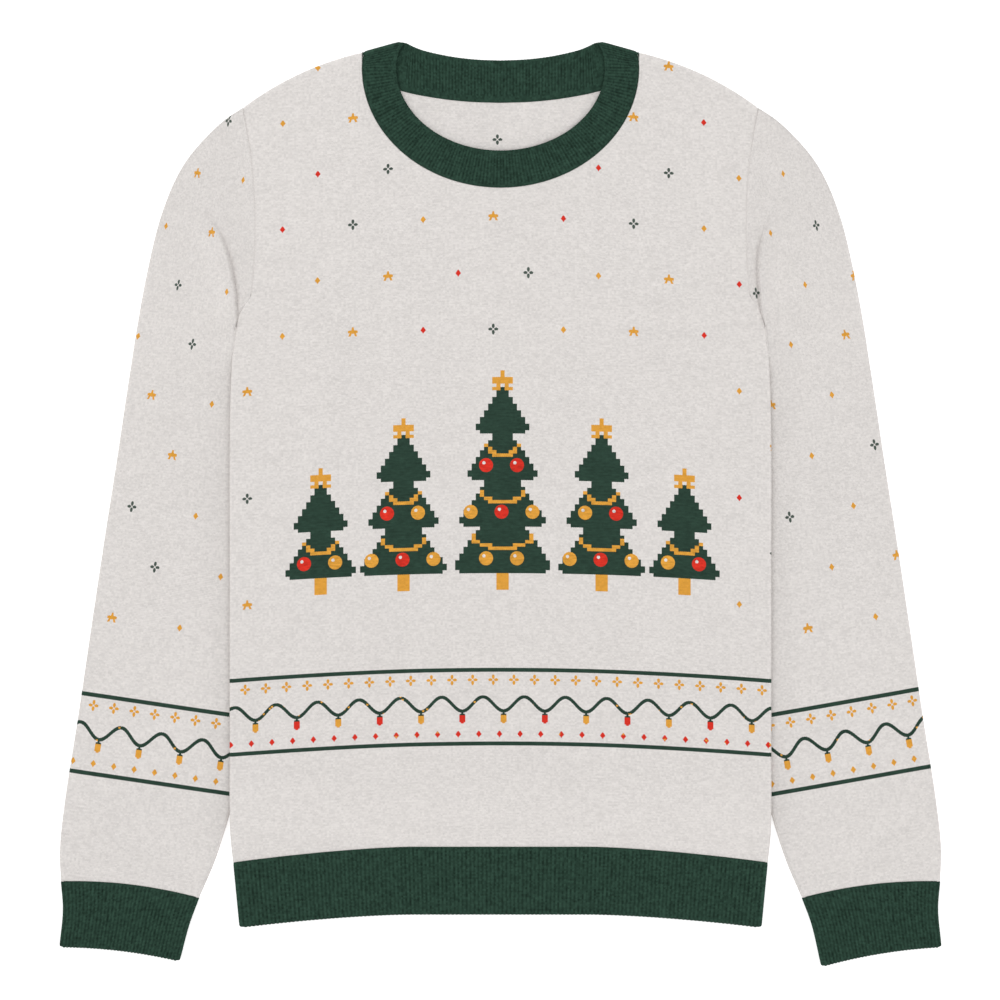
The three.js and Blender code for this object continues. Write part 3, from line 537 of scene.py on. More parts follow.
def body_wall(neckline, facing, middle, lift, swell):
    """A body panel. Its outer face looks up in front (facing 1) and down behind (facing -1)."""
    side, top, side_line, top_line = body_outline(neckline)
    flip = np.array([-1.0, 1.0])
    across_line = np.concatenate([top_line * flip, top_line[-2::-1]])
    across_out = np.concatenate([top.out * flip, top.out[-2::-1]])
    across_roll = np.concatenate([top.roll, top.roll[-2::-1]])
    u, v = (Line(line).reached / Line(line).length for line in (across_line, side_line))

    # columns run straight from hem to top, and near the sides they follow the side edges
    bottom_x = mix(-side_line[0, 0], side_line[0, 0], u)
    bottom = np.stack([bottom_x, hem_seam_y(bottom_x) + SEAM_GAP / 2], axis=-1)
    bulge = (side_line - mix(side_line[0], side_line[-1], v[:, None]))[:, None]
    near_left, near_right = 1 - smoothstep(u, 0, 0.2), smoothstep(u, 0.8, 1)
    grid = mix(bottom, across_line, v[:, None, None])
    grid = grid + near_right[:, None] * bulge + near_left[:, None] * bulge * flip

    # strips of roll steps go on past the top and both sides
    up_rows, columns = len(side_line), len(across_line)
    rows = np.concatenate([np.arange(up_rows), np.full(ROLL_SAMPLES, up_rows - 1)])
    up_share = np.maximum(np.arange(len(rows)) - up_rows + 1, 0) / ROLL_SAMPLES
    j = np.arange(-ROLL_SAMPLES, columns + ROLL_SAMPLES)
    cols = np.clip(j, 0, columns - 1)
    side_share = np.maximum(-j, j - columns + 1).clip(0) / ROLL_SAMPLES
    flat = grid[rows][:, cols]
    mirror = np.where(j < 0, -1.0, 1.0)
    side_out = side.out[rows][:, None] * np.stack([mirror, np.ones_like(mirror)], axis=-1)[None]
    top_out = across_out[cols][None] * np.ones((len(rows), 1, 1))
    side_step = roll_step(side_share[None, :], side.roll[rows][:, None])
    top_step = roll_step(up_share[:, None], across_roll[cols][None, :])

    height = middle + lift(flat[..., 0], flat[..., 1])
    # swells and gathers fade out towards the edges
    across_window = smoothstep(np.minimum(u, 1 - u), 0, 0.07)[cols]
    up_window = smoothstep(np.minimum(v, 1 - v), 0, 0.05)[rows]
    height = height + swell(flat[..., 0], flat[..., 1]) * (across_window[None] * up_window[:, None])
    plane = flat + side_out * side_step[0][..., None] + top_out * top_step[0][..., None]
    z = height - facing * (side_step[1] + top_step[1])
    lean = side_out * np.sin(side_step[2])[..., None] + top_out * np.sin(top_step[2])[..., None]
    upright = facing * np.cos(np.maximum(side_step[2], top_step[2]))
    normal = unit(np.concatenate([lean, upright[..., None]], axis=-1))
    outer_half = np.full(z.shape, KNIT_WALL / 2)
    # the outer face dips softly into the flat seams
    flat_side = (1 - side.roll[rows])[:, None] * side_share[None, :] ** 2
    flat_top = (1 - across_roll[cols])[None, :] * up_share[:, None] ** 2
    first_rows = np.exp(-(v[rows] * SIDE_LENGTH / SEAM_DIP_REACH))[:, None] * np.ones_like(z)
    outer_half -= SEAM_DIP * np.maximum(np.maximum(flat_side, flat_top), first_rows * (facing > 0))

    knit_map = flat.copy()
    knit_map[..., 1] += BODY_ARCH * (flat[..., 0] / SIDE_SEAM[2][0]) ** 2
    if facing > 0:
        pull = NECK_PULL * np.exp(-((flat[..., 0] / NECK_PULL_HALF) ** 2))
        knit_map[..., 1] -= pull * smoothstep(flat[..., 1], *NECK_PULL_RANGE)
    knit_map[..., 0] += mirror[None] * side_share[None] * ROLL_RADIUS * math.pi / 2
    knit_map[..., 1] += up_share[:, None] * ROLL_RADIUS * math.pi / 2
    middle_points = np.concatenate([plane, z[..., None]], axis=-1)
    # painted light above the hem's seam, on the front only
    tone = -HEM_PAINTED_LIGHT * smoothstep(-flat[..., 1], *HEM_RANGE) * (facing > 0)
    return Wall(middle_points, normal, outer_half, np.full(z.shape, KNIT_WALL / 2), knit_map, tone=tone)


def hem_wall(facing, middle, lift):
    """A hem band from its seam to its soft bottom edge, rolled over at both sides."""
    rolled = ROLL_RADIUS + BAND_WALL / 2
    seam_half, bottom_half = SIDE_SEAM[0][0] - rolled, HEM_BOTTOM_X - rolled
    ribs = round(2 * SIDE_SEAM[0][0] / ribbing().band_pitch)
    spans = ribs * SPANS_PER_RIB
    j = np.arange(-TURN_SPANS, spans + TURN_SPANS + 1)
    column = np.clip(j, 0, spans)
    u = 2 * column / spans - 1
    side = np.where(u < 0, -1.0, 1.0)
    out, drop, tilt = roll_step(np.abs(j - column) / TURN_SPANS, np.ones(len(j)))
    t = BAND_SHARES[:, None]
    x = u * mix(seam_half, bottom_half, t)
    top_y = hem_seam_y(u * seam_half) - SEAM_GAP / 2
    bottom_y = hem_bottom_y(u * bottom_half) + BAND_WALL / 2
    y = mix(top_y, bottom_y, t)
    z = middle + lift(x, y) - facing * drop
    grid = np.stack([x + side * out, y, z], axis=-1)
    flat_normal = np.stack([side * np.sin(tilt), np.zeros_like(tilt), facing * np.cos(tilt)], axis=-1)
    normal = np.broadcast_to(flat_normal, grid.shape).copy()
    half = np.full(z.shape, BAND_WALL / 2)
    outer_half = half - BAND_DIP * np.exp(-t / BAND_DIP_SHARE)
    rib_share = (1 - smoothstep(np.abs(j - column) / TURN_SPANS, 0.3, 1.0)) * smoothstep(t, -0.01, 0.05)
    ribs_table = np.stack([
        np.broadcast_to(u * ribs / 2 + 0.5 * (ribs % 2 == 0), z.shape), np.broadcast_to(rib_share, z.shape),
        np.zeros_like(z), np.full_like(z, float(facing < 0)),
    ], axis=-1)
    knit_map = np.stack([np.broadcast_to(u * seam_half + side * out, z.shape), y], axis=-1)
    wall = Wall(grid, normal, outer_half, half, knit_map, ribs=ribs_table)
    return wall.round_end(np.array([0.0, -1.0, 0.0]), BAND_WALL / 2)


def body_side(y):
    """x of the body's side edge at a height y, up to the underarm."""
    line = SIDE_LINE.points
    return np.interp(y, line[:, 1], line[:, 0])


def armpit_rise(x, y):
    """The sleeve swells up against the body's raised edge below the underarm."""
    gap = x - body_side(y)
    along = smoothstep(y, *ARMPIT_START) * (1 - smoothstep(y, *ARMPIT_END))
    return ARMPIT_RISE * along * smoothstep(gap, *ARMPIT_GAP[:2]) * (1 - smoothstep(gap, *ARMPIT_GAP[2:]))


def creased(creases, x, y):
    """Height and painted shade of creases: a groove, and outside it cloth that rolls up steeply and falls
    softly, with painted light on that roll.
    """
    height, tone = np.zeros_like(x), np.zeros_like(x)
    for *points, rise, width, wall in creases:
        line = smooth_line(points, 14)
        gap = np.stack([x, y], axis=-1)[..., None, :] - line.points
        distance = np.linalg.norm(gap, axis=-1)
        nearest = distance.argmin(axis=-1)
        ways = line.ways[nearest]
        offset = np.take_along_axis(gap, nearest[..., None, None], axis=-2)[..., 0, :]
        outside = ways[..., 0] * offset[..., 1] - ways[..., 1] * offset[..., 0]
        signed = -np.sign(outside) * distance.min(axis=-1)
        along = line.reached[nearest] / line.length
        fade = smoothstep(along, -0.05, 0.06) * (1 - smoothstep(along, 0.55, 1.0))
        profile = smoothstep(signed, -0.4, wall) * (1 - smoothstep(signed, wall, width))
        groove = np.exp(-((signed / GROOVE_WIDTH) ** 2))
        height = height + rise * fade * (profile - GROOVE_DEPTH * groove)
        depth = min(rise / 3.2, 1.0)
        # painted shade in the groove and inside the crease, and painted light on the roll beyond it
        inside = np.exp(np.where(signed < 0, signed / 30, -signed / 5))
        beyond = smoothstep(signed, 2, 9) * (1 - smoothstep(signed, width * 0.8, width * 1.6))
        tone = tone + depth * fade * (GROOVE_PAINTED_SHADE * groove + INSIDE_PAINTED_SHADE * inside + ROLL_PAINTED_LIGHT * beyond)
    return height, tone


def side_shadow(x, y):
    """How much painted shadow darkens the sleeve towards the body's edge that lies over it."""
    gap = np.maximum(x - body_side(y), 0)
    shade = EDGE_SHADE + LOW_EDGE_SHADE * smoothstep(-y, 190, 250)
    return shade * (1 - smoothstep(gap, 0, EDGE_SHADE_WIDTH)) * (1 - smoothstep(y, 128, 160))


def section_loop(top_spans, under_spans):
    """Round one flattened section from its hidden inner edge: share of the width and angle of the normal."""
    quarter = math.pi / 2
    turn = np.linspace(-1, 1, 2 * TURN_SPANS + 1)[1:-1] * quarter
    top = np.linspace(1, 0, top_spans + 1)
    under = np.linspace(0, 1, under_spans + 1)
    share = np.concatenate([top, np.zeros(len(turn)), under, np.ones(len(turn))])
    angle = np.concatenate([np.full(len(top), quarter), -turn, np.full(len(under), -quarter), turn])
    outward = np.repeat([1.0, -1.0], [len(top) + len(turn) + len(under), len(turn)])
    return share, angle, outward


def sleeve_lift(share_across, upright, lift_share):
    armhole_y = mix(SHOULDER_TIP[1], UNDERARM[1], share_across)
    top, under = lift_fade(armhole_y, FRONT_TOP_END), lift_fade(armhole_y, BACK_TOP_END)
    return TUCK_LIFT * mix(under, top, (1 + upright) / 2) * lift_share


def tube_wall(
    sections, places, loop, wall_thickness, mids, relief, map_of,
    corner=0.0, seam_inset=0.0, end_trim=0.0, tuck=0.0,
):
    """A flattened tube through a table of sections, for the +X side, tucked further under at the underarm."""
    table = np.asarray(sections, float)
    outer_line, inner_line = smooth_line(table[:, :2]), smooth_line(table[:, 2:4])
    knots = np.linspace(0, 1, len(table))
    share, angle, outward = (part[None, :] for part in loop)
    s = places[:, None]
    start, end = outer_line.at_knots(places), inner_line.at_knots(places)
    knot = places * (len(table) - 1)
    tucked = tuck * smoothstep(knot, -0.5, 0.6) * (1 - smoothstep(knot, 3.4, 5.0))
    end = end + unit(end - start) * tucked[:, None]
    width = np.linalg.norm(end - start, axis=1)[:, None]
    across = unit(end - start)
    to_neck = clockwise(across)
    radius = (mids[0] - mids[1]) / 2
    edge_radius = radius + wall_thickness / 2
    level, upright = np.abs(np.cos(angle)), np.sin(angle)
    distance = edge_radius + share * (width - 2 * edge_radius)
    from_corner = np.clip(corner - np.minimum(distance, width - distance), 0, corner)
    rounding = (corner - np.sqrt(corner**2 - from_corner**2)) * smoothstep(s, 0.6, 1.0)
    bow = 4 * share * (1 - share) * np.interp(s, knots, table[:, 4])
    ahead = bow + rounding - seam_inset * (1 - 2 * s) + end_trim * smoothstep(s, 0.9, 1.0)
    plane = start[:, None] + across[:, None] * distance[..., None] + to_neck[:, None] * ahead[..., None]
    lift = sleeve_lift(distance / width, upright, np.interp(s, knots, table[:, 5]))
    on_top = np.broadcast_to(angle > 1.5, plane.shape[:2])
    raised = np.where(on_top, relief(plane[..., 0], plane[..., 1], share, s), 0.0)
    z = (mids[0] + mids[1]) / 2 + lift + raised
    lean = across[:, None] * (-outward * level)[..., None] * np.ones(plane.shape)
    normal = np.concatenate([lean, np.broadcast_to(upright, z.shape)[..., None]], axis=-1)
    points = np.concatenate([plane, z[..., None]], axis=-1) + normal * radius
    half = np.full(z.shape, wall_thickness / 2)
    knit_map = map_of(points, width, share, angle, outward, edge_radius)
    return Wall(points, normal, half.copy(), half, knit_map, closed=True), to_neck


# ---------------------------------------------------------------- shader maths


class Maths:
    """A node's output in an expression. Numbers and other outputs take part with the usual operators."""

    def __init__(self, shader, socket):
        self.shader = shader
        self.socket = socket

    def by(self, operation, *others):
        values = {number: value for number, value in enumerate((self, *others))}
        return self.shader.add("ShaderNodeMath", values, operation=operation)[0]

    def __add__(self, other):
        return self.by("ADD", other)

    def __mul__(self, other):
        return self.by("MULTIPLY", other)

    __radd__ = __add__
    __rmul__ = __mul__

    def __sub__(self, other):
        return self.by("SUBTRACT", other)

    def __rsub__(self, other):
        return (self * -1.0) + other

    def __truediv__(self, other):
        return self.by("DIVIDE", other)

    def __mod__(self, other):
        return self.by("FLOORED_MODULO", other)

    def __pow__(self, other):
        return self.by("POWER", other)

    def __abs__(self):
        return self.by("ABSOLUTE")

    def __lt__(self, other):
        return self.by("LESS_THAN", other)

    def __gt__(self, other):
        return self.by("GREATER_THAN", other)

    def __and__(self, other):
        return self.by("MULTIPLY", other)

    def __or__(self, other):
        return self.by("MAXIMUM", other)

    def __invert__(self):
        return 1.0 - self

    def floor(self):
        return self.by("FLOOR")

    def equals(self, number):
        return self.by("COMPARE", number, 0.5)

    def between(self, low, high):
        return (self > low) & (self < high)


class Shader:
    """A material's tree."""

    def __init__(self, name):
        self.material = bpy.data.materials.new(name)
        self.material.use_nodes = True
        self.tree = self.material.node_tree
        self.tree.nodes.clear()

    def add(self, kind, values=None, **settings):
        """A node with its settings, then the values or links of its sockets. Its enabled outputs come back."""
        node = self.tree.nodes.new(kind)
        for name, setting in settings.items():
            setattr(node, name, setting)
        for key, value in (values or {}).items():
            if isinstance(value, Maths):
                self.tree.links.new(value.socket, node.inputs[key])
            elif value is not None:
                node.inputs[key].default_value = value
        return [Maths(self, socket) for socket in node.outputs if socket.enabled]

    def blend(self, share, below, above):
        """Colour below, with colour above over it by a share."""
        colours = {"Factor": share, 6: below, 7: above}
        return self.add("ShaderNodeMix", colours, data_type="RGBA", clamp_factor=True)[0]

    def tint(self, colour, amount):
        """A colour made lighter or darker by an amount about 1."""
        grey = self.add("ShaderNodeCombineColor", {0: amount, 1: amount, 2: amount})[0]
        colours = {"Factor": 1.0, 6: colour, 7: grey}
        return self.add("ShaderNodeMix", colours, data_type="RGBA", blend_type="MULTIPLY")[0]

    def attribute(self, name):
        return self.add("ShaderNodeAttribute", attribute_name=name)[2]

    def cloth(self, colour, height, depth, roughness, sheen):
        """The finish of a knit: colour and relief over a soft, slightly hairy surface."""
        normal = self.add("ShaderNodeBump", {"Strength": 1.0, "Distance": depth, "Height": height})[0]
        surface = self.add("ShaderNodeBsdfPrincipled", {
            "Base Color": colour, "Roughness": roughness, "Normal": normal, "Metallic": 0.0,
            "Specular IOR Level": 0.04, "Sheen Weight": sheen, "Sheen Roughness": 0.6,
        })[0]
        self.add("ShaderNodeOutputMaterial", {"Surface": surface})
        return self.material


# ---------------------------------------------------------------- the pattern

STITCH_W, STITCH_H = 1.65, 1.33
# How much higher the legs of a stitch stand at the sides of its column than in the middle, in stitches.
STITCH_SLANT = 0.9
PATTERN_SLANT = 0.45
# The rows of the body run in a shallow arch: they lie this much lower at the sides.
BODY_ARCH = 8.8
# The rows of the front are drawn up this much below the neckline, in a bell this wide, over a range of y.
NECK_PULL, NECK_PULL_HALF, NECK_PULL_RANGE = 5.5, 95, (120, 235)

# Scattered motifs: columns and rows of a half-drop lattice, in stitches.
SCATTER_COLUMN, SCATTER_ROW = 34, 32
SCATTER_TOP_ROW = 264
SCATTER_CENTRE = -4

# Where motifs are scattered: down to a height, and in front not on the field of the firs, in millimetres.
FIELD_BOTTOM, FIR_FIELD_HALF, FIR_FIELD_TOP = -112, 182, 120
CROSS_STRENGTH = 0.93
# Stitches whose random number is above these are knitted in mustard.
ODD_IN_DIAMONDS, ODD_IN_CORD = 0.93, 0.972

# The band of lights, in millimetres below the middle of its upper line.
BAND_TOP = -133.8
BAND_LINE_HALF = 1.6
BAND_CROSSES, BAND_WAVE, BAND_DIAMONDS, BAND_BOTTOM = 7.9, 27.2, 51.2, 58.9
WAVE_SWING, WAVE_HALF = 5.6, 1.25
WAVE_STITCHES = 20
BULB_DROP = 4.6

# The row of firs, charted in squares of two stitches: the foot's row, the rows of a tier and of the trunk, and
# each fir's column and number of tiers. The same firs stand on both sides of the middle.
FIR_FOOT_ROW, FIR_TIER, FIR_TRUNK = -26, 14, 4.0
FIRS = ((0, 4), (24, 3), (44, 2))
SWAG_ROW, SWAG_DEPTH, SWAG_HALF = 6.0, 3.5, 0.6
# Baubles: spacing in stitches, the row they hang in, and sizes in millimetres, with the glint's place in each.
BAUBLE_SPACING, BAUBLE_ROW, BAUBLE_RADIUS = 15, 9.0, 5.6
GLINT_X, GLINT_Y, GLINT_RADIUS = -1.7, -1.9, 1.3


def star(x, y):
    """A five-pointed star: spike, arms and two feet. x counts stitches across, y rows up."""
    half = abs(x)
    spike = (half + y * 0.15 < 0.85) & y.between(0.0, 3.1)
    arms = (half < 2.35) & (abs(y - 0.35) + half * 0.2 < 1.15)
    feet = (abs(half - 0.8 + y * 0.36) < 0.55) & y.between(-2.4, 0.0)
    return spike | arms | feet


def cross(x, y):
    """A small upright cross of four dots round a light middle."""
    across, up = abs(x), abs(y)
    beside = ((across - 1.4) / 1.0) ** 2.0 + (up / 0.85) ** 2.0
    above = (across / 0.7) ** 2.0 + ((up - 1.8) / 1.35) ** 2.0
    return (beside < 1.0) | (above < 1.0)


def diamond(x, y):
    return (abs(x) / 1.35 + abs(y) / 2.1) < 1.0


def bulb(x, y):
    """A hanging light: it is 4 rows tall and narrows to its tip."""
    return (abs(x) < 1.45) & (abs(y) < 2.1) | ((abs(x) < 0.75) & y.between(-2.9, 0.0))


def bulb_holder(x, y):
    """The neck and cap of a hanging light."""
    return (abs(x) < 0.55) & y.between(2.5, 5.0) | ((abs(x) < 1.3) & y.between(1.9, 3.0))


class Knit:
    """The stitches of a piece: wale and course of each, and the pattern knitted into them."""

    def __init__(self, shader, shift=(0.0, 0.0)):
        self.shader = shader
        coordinates = shader.add("ShaderNodeUVMap", uv_map="knit")[0]
        x, y, _ = shader.add("ShaderNodeSeparateXYZ", {0: coordinates})
        self.across = x * (1 / (STITCH_W * MM)) + shift[0] / STITCH_W
        self.up = y * (1 / (STITCH_H * MM)) + shift[1] / STITCH_H
        self.wale = self.across.floor()
        self.leg = abs(self.across - self.wale - 0.5)
        self.slanted = self.up - self.leg * STITCH_SLANT
        self.course = self.slanted.floor()
        # places in the pattern, counted from the middle of stitch 0 in row 0
        self.x = self.across - 0.5
        self.y = self.up - self.leg * PATTERN_SLANT - 0.5

    def relief(self):
        """Two raised legs to each stitch."""
        leg = (self.across * 2.0) % 1.0
        row = self.slanted - self.course
        return (leg * (1.0 - leg) * 4.0) * (row * (1.0 - row) * 2.4 + 0.4)

    def noise(self, per_stitch, per_row, detail=2.0):
        """Smooth noise, 0 to 1, at its own scale along and across the rows."""
        scaled = {0: self.across * per_stitch, 1: self.slanted * per_row}
        place = self.shader.add("ShaderNodeCombineXYZ", scaled)[0]
        values = {"Vector": place, "Scale": 1.0, "Detail": detail}
        return self.shader.add("ShaderNodeTexNoise", values, noise_dimensions="2D")[0]

    def speckle(self):
        """One random number, 0 to 1, for each stitch."""
        cell = self.shader.add("ShaderNodeCombineXYZ", {0: self.wale, 1: self.course})[0]
        return self.shader.add("ShaderNodeTexWhiteNoise", {"Vector": cell}, noise_dimensions="2D")[0]

    def scatter(self, base, offset):
        """Masks of stars, crosses and two kinds of diamond on the half-drop lattice."""
        row = ((SCATTER_TOP_ROW - self.y) / SCATTER_ROW + 0.5).floor()
        is_half = 1.0 - row % 2.0
        middle = self.x - SCATTER_CENTRE - offset
        number = (middle / SCATTER_COLUMN - is_half * 0.5 + 0.5).floor()
        x = middle - (number + is_half * 0.5) * SCATTER_COLUMN
        y = self.y - SCATTER_TOP_ROW + row * SCATTER_ROW
        pair = (row * 0.5).floor() % 2.0
        kind = (number + base + pair * 2.0) % 4.0
        small = diamond(x, y)
        return {
            "star": star(x, y) & kind.equals(1),
            "cross": cross(x, y) & kind.equals(3),
            "diamond": small & kind.equals(0),
            "other_diamond": small & kind.equals(2),
        }

    def lights(self, phase, diamond_phase):
        """Masks of the band: lines and cord, crosses, diamonds, bulbs of either colour."""
        depth = (self.y * STITCH_H - BAND_TOP) * -1.0
        lines = (abs(depth) < BAND_LINE_HALF) | (abs(depth - BAND_BOTTOM) < BAND_LINE_HALF)
        place = self.x - phase
        turn = place * (2 * math.pi / WAVE_STITCHES)
        from_cord = depth - BAND_WAVE - turn.by("COSINE") * WAVE_SWING
        steep = abs(turn.by("SINE")) * 0.5 + 1.0
        cord = abs(from_cord) < steep * WAVE_HALF
        half_wave = WAVE_STITCHES / 2

        def repeat(pitch, shift):
            return (place + shift + pitch / 2) % pitch - pitch / 2

        up = depth * (-1 / STITCH_H)
        beside, crossed = repeat(half_wave, 5.0), up + BAND_CROSSES / STITCH_H
        crosses = cross(beside, crossed)
        diamonds = diamond(repeat(half_wave, diamond_phase), up + BAND_DIAMONDS / STITCH_H)
        hung = repeat(float(WAVE_STITCHES), 0.0)
        drop = up + (BAND_WAVE + WAVE_SWING) / STITCH_H + BULB_DROP
        bulbs = bulb(hung, drop)
        number = ((place + half_wave) / WAVE_STITCHES).floor() % 2.0
        return {
            "dark": lines | cord | bulb_holder(hung, drop), "cord": cord, "crosses": crosses,
            "diamonds": diamonds, "even_bulbs": bulbs & (1.0 - number), "odd_bulbs": bulbs & number,
        }

    def firs(self):
        """Masks of a row of decorated firs, taller towards the middle, in squares of two stitches."""
        square = abs((self.across * 0.5).floor())
        row = self.up * 0.5 - self.leg * 0.2
        line = row.floor() - FIR_FOOT_ROW
        found = {}
        for column, tiers in FIRS:
            across, crown = abs(square - float(column)), float(tiers * FIR_TIER)
            depth = (line - FIR_TRUNK - crown) * -1.0
            in_crown = depth.between(-0.5, crown - 0.5)
            tier = (depth / FIR_TIER).floor()
            within = depth - tier * FIR_TIER
            # each tier widens square by square, and its lowest row draws in again
            half = tier * 1.8 + within.by("MINIMUM", 11.0) * 0.54 + 0.6 - (within > 12.5) * 1.1
            inside = in_crown & (across < half)
            swag = abs(within - SWAG_ROW + (across / half) ** 2.0 * SWAG_DEPTH) < SWAG_HALF
            swag = swag & inside & (tier > 0.5)

            # round baubles hang below each swag, drawn stitch by stitch
            beside = abs(self.x) - 2.0 * column
            number = (beside / BAUBLE_SPACING - tier * 0.5).by("ROUND")
            place = number + tier * 0.5
            x = (beside - place * BAUBLE_SPACING) * STITCH_W
            y = ((within - BAUBLE_ROW) * 2.0 + (row % 1.0) * -2.0 + 1.0) * STITCH_H
            hanging = tier.between(0.5, 9.0) & (abs(place) * BAUBLE_SPACING < tier * 3.6 + 8.5)
            bauble = (x * x + y * y < BAUBLE_RADIUS**2) & hanging & in_crown
            from_glint = (x * self.x.by("SIGN") - GLINT_X) ** 2.0 + (y - GLINT_Y) ** 2.0
            shine = (from_glint < GLINT_RADIUS**2) & bauble
            is_red = (abs(number + tier) % 2.0).equals(1)

            top = star(across, line - FIR_TRUNK - 2.0 - crown)
            trunk = line.between(-0.5, FIR_TRUNK + 0.5) & (across < 1.5)
            masks = {
                "green": inside, "bright": swag | (bauble & (1.0 - is_red)) | top | trunk,
                "red": bauble & is_red, "glint": shine,
            }
            found = {yarn: found[yarn] | mask if found else mask for yarn, mask in masks.items()}
        return found


@dataclass
class PatternPlan:
    """Where a piece's pattern starts and which yarns it takes."""

    shift: tuple = (0.0, 0.0)
    scatter_kind: float = 3.0
    scatter_offset: float = 0.0
    phase: float = 1.0
    diamond_phase: float = 2.0
    has_firs: bool = False
    all_mustard: bool = False


PATTERNS = {
    "knit_front": PatternPlan(has_firs=True),
    "knit_back": PatternPlan(shift=(-3.3, 17.9)),
    "knit_sleeve_right": PatternPlan(scatter_kind=2.0, phase=4.0, diamond_phase=-1.0, all_mustard=True),
    "knit_sleeve_left": PatternPlan(
        scatter_kind=0.0, scatter_offset=8.0, phase=6.0, diamond_phase=-1.0, all_mustard=True),
}


def knit_material(name):
    """Heathered light knit with the scattered motifs, the band of lights and, in front, the firs."""
    plan = PATTERNS[name]
    shader = Shader(name)
    knit = Knit(shader, plan.shift)
    colours = bpy.context.scene.sweater_colours
    light, green, mustard, red = (tuple(getattr(colours, key)) for key in ("knit", "rib", "mustard", "red"))
    scatter = knit.scatter(plan.scatter_kind, plan.scatter_offset)
    band = knit.lights(plan.phase, plan.diamond_phase)
    open_field = knit.y > FIELD_BOTTOM / STITCH_H
    if plan.has_firs:
        beside, above = abs(knit.x) > FIR_FIELD_HALF / STITCH_W, knit.y > FIR_FIELD_TOP / STITCH_H
        open_field = open_field & (beside | above)
    reds = scatter["other_diamond"] & open_field
    # here and there the cord and the row of diamonds show a stitch of mustard
    odd_stitch = knit.speckle()
    in_diamond, in_cord = odd_stitch > ODD_IN_DIAMONDS, odd_stitch > ODD_IN_CORD
    brights = (scatter["star"] | scatter["diamond"]) & open_field | band["crosses"] | band["even_bulbs"]
    brights = brights | (in_diamond & band["diamonds"]) | (in_cord & band["cord"])
    darks = (scatter["cross"] & open_field & CROSS_STRENGTH) | band["dark"]
    more_reds = (band["diamonds"] & ~in_diamond) | band["odd_bulbs"]
    if plan.all_mustard:
        brights, reds = brights | reds | more_reds, None
    else:
        reds = reds | more_reds
    colour = light
    if plan.has_firs:
        firs = knit.firs()
        darks = darks | firs["green"]
        brights = brights | firs["bright"]
        reds = reds | firs["red"]
    colour = shader.blend(darks, colour, green)
    colour = shader.blend(brights, colour, mustard)
    if reds is not None:
        colour = shader.blend(reds, colour, red)
    if plan.has_firs:
        colour = shader.blend(firs["glint"], colour, light)
    streaks = (knit.noise(0.26, 0.95, 3.0) - 0.5) * 0.2 + (knit.noise(0.045, 0.11) - 0.5) * 0.07
    # dark yarn is heathered more strongly than light yarn
    streaks = streaks * (darks * 3.0 + 1.0)
    relief = knit.relief()
    # painted light and shade from the points, random heather of the yarn, and painted shade between the legs of
    # the stitches
    shade = 0.968 - shader.attribute("fold_tone") + (odd_stitch - 0.5) * 0.13 + streaks + relief * 0.07
    return shader.cloth(shader.tint(colour, shade), relief, depth=0.00022, roughness=0.92, sheen=0.05)


def rib_material(name):
    """Heathered dark green ribbing, with painted shade between the ribs."""
    shader = Shader(name)
    knit = Knit(shader)
    green = tuple(bpy.context.scene.sweater_colours.rib)
    number, outer, inner = (shader.attribute(key) for key in ("rib_number", "rib_outer", "rib_inner"))
    rib = (number * (2 * math.pi)).by("COSINE") * (outer | inner) * -0.5 + 0.5
    patches = (knit.noise(0.5, 0.12) - 0.5) * 0.5 + (knit.noise(0.12, 0.3) - 0.5) * 0.35
    # painted shade between the ribs, with random heather of the yarn
    shade = 0.74 + (rib ** 0.6) * 0.40 + (knit.speckle() - 0.5) * 0.55 + patches
    return shader.cloth(shader.tint(green, shade), knit.relief(), depth=0.00018, roughness=0.95, sheen=0.0)


def seam_yarn_material(name):
    """Light sewing yarn with an uneven tone."""
    shader = Shader(name)
    place = shader.add("ShaderNodeTexCoord")[3]
    noise = shader.add("ShaderNodeTexNoise", {"Vector": place, "Scale": 900.0, "Detail": 2.0})[0]
    light = tuple(bpy.context.scene.sweater_colours.knit)
    colour = shader.tint(light, 0.93 + (noise - 0.5) * 0.2)
    return shader.cloth(colour, noise, depth=0.0001, roughness=0.92, sheen=0.1)


# ---------------------------------------------------------------- geometry nodes


class NodeTree:
    """A geometry node tree that takes and returns geometry, with number inputs and a material."""

    def __init__(self, name, numbers):
        self.tree = bpy.data.node_groups.new(name, "GeometryNodeTree")
        self.tree.interface.new_socket("Geometry", in_out="INPUT", socket_type="NodeSocketGeometry")
        self.tree.interface.new_socket("Geometry", in_out="OUTPUT", socket_type="NodeSocketGeometry")
        self.identifiers = {}
        for label in (*numbers, "Material"):
            kind = "NodeSocketMaterial" if label == "Material" else "NodeSocketFloat"
            socket = self.tree.interface.new_socket(label, in_out="INPUT", socket_type=kind)
            self.identifiers[label] = socket.identifier
        self.given = self.tree.nodes.new("NodeGroupInput").outputs
        self.result = self.tree.nodes.new("NodeGroupOutput").inputs[0]

    def add(self, kind, values=None, **settings):
        """A node with its settings, then the values or links of its sockets. Its node comes back."""
        node = self.tree.nodes.new(kind)
        for name, setting in settings.items():
            setattr(node, name, setting)
        for key, value in (values or {}).items():
            if isinstance(value, bpy.types.NodeSocket):
                self.tree.links.new(value, node.inputs[key])
            else:
                node.inputs[key].default_value = value
        return node

    def out(self, kind, values=None, **settings):
        return self.add(kind, values, **settings).outputs[0]

    def maths(self, operation, *values):
        return self.out("ShaderNodeMath", dict(enumerate(values)), operation=operation)

    def finish(self, geometry):
        realized = self.out("GeometryNodeRealizeInstances", {0: geometry})
        painted = self.out("GeometryNodeSetMaterial", {0: realized, "Material": self.given["Material"]})
        self.tree.links.new(painted, self.result)


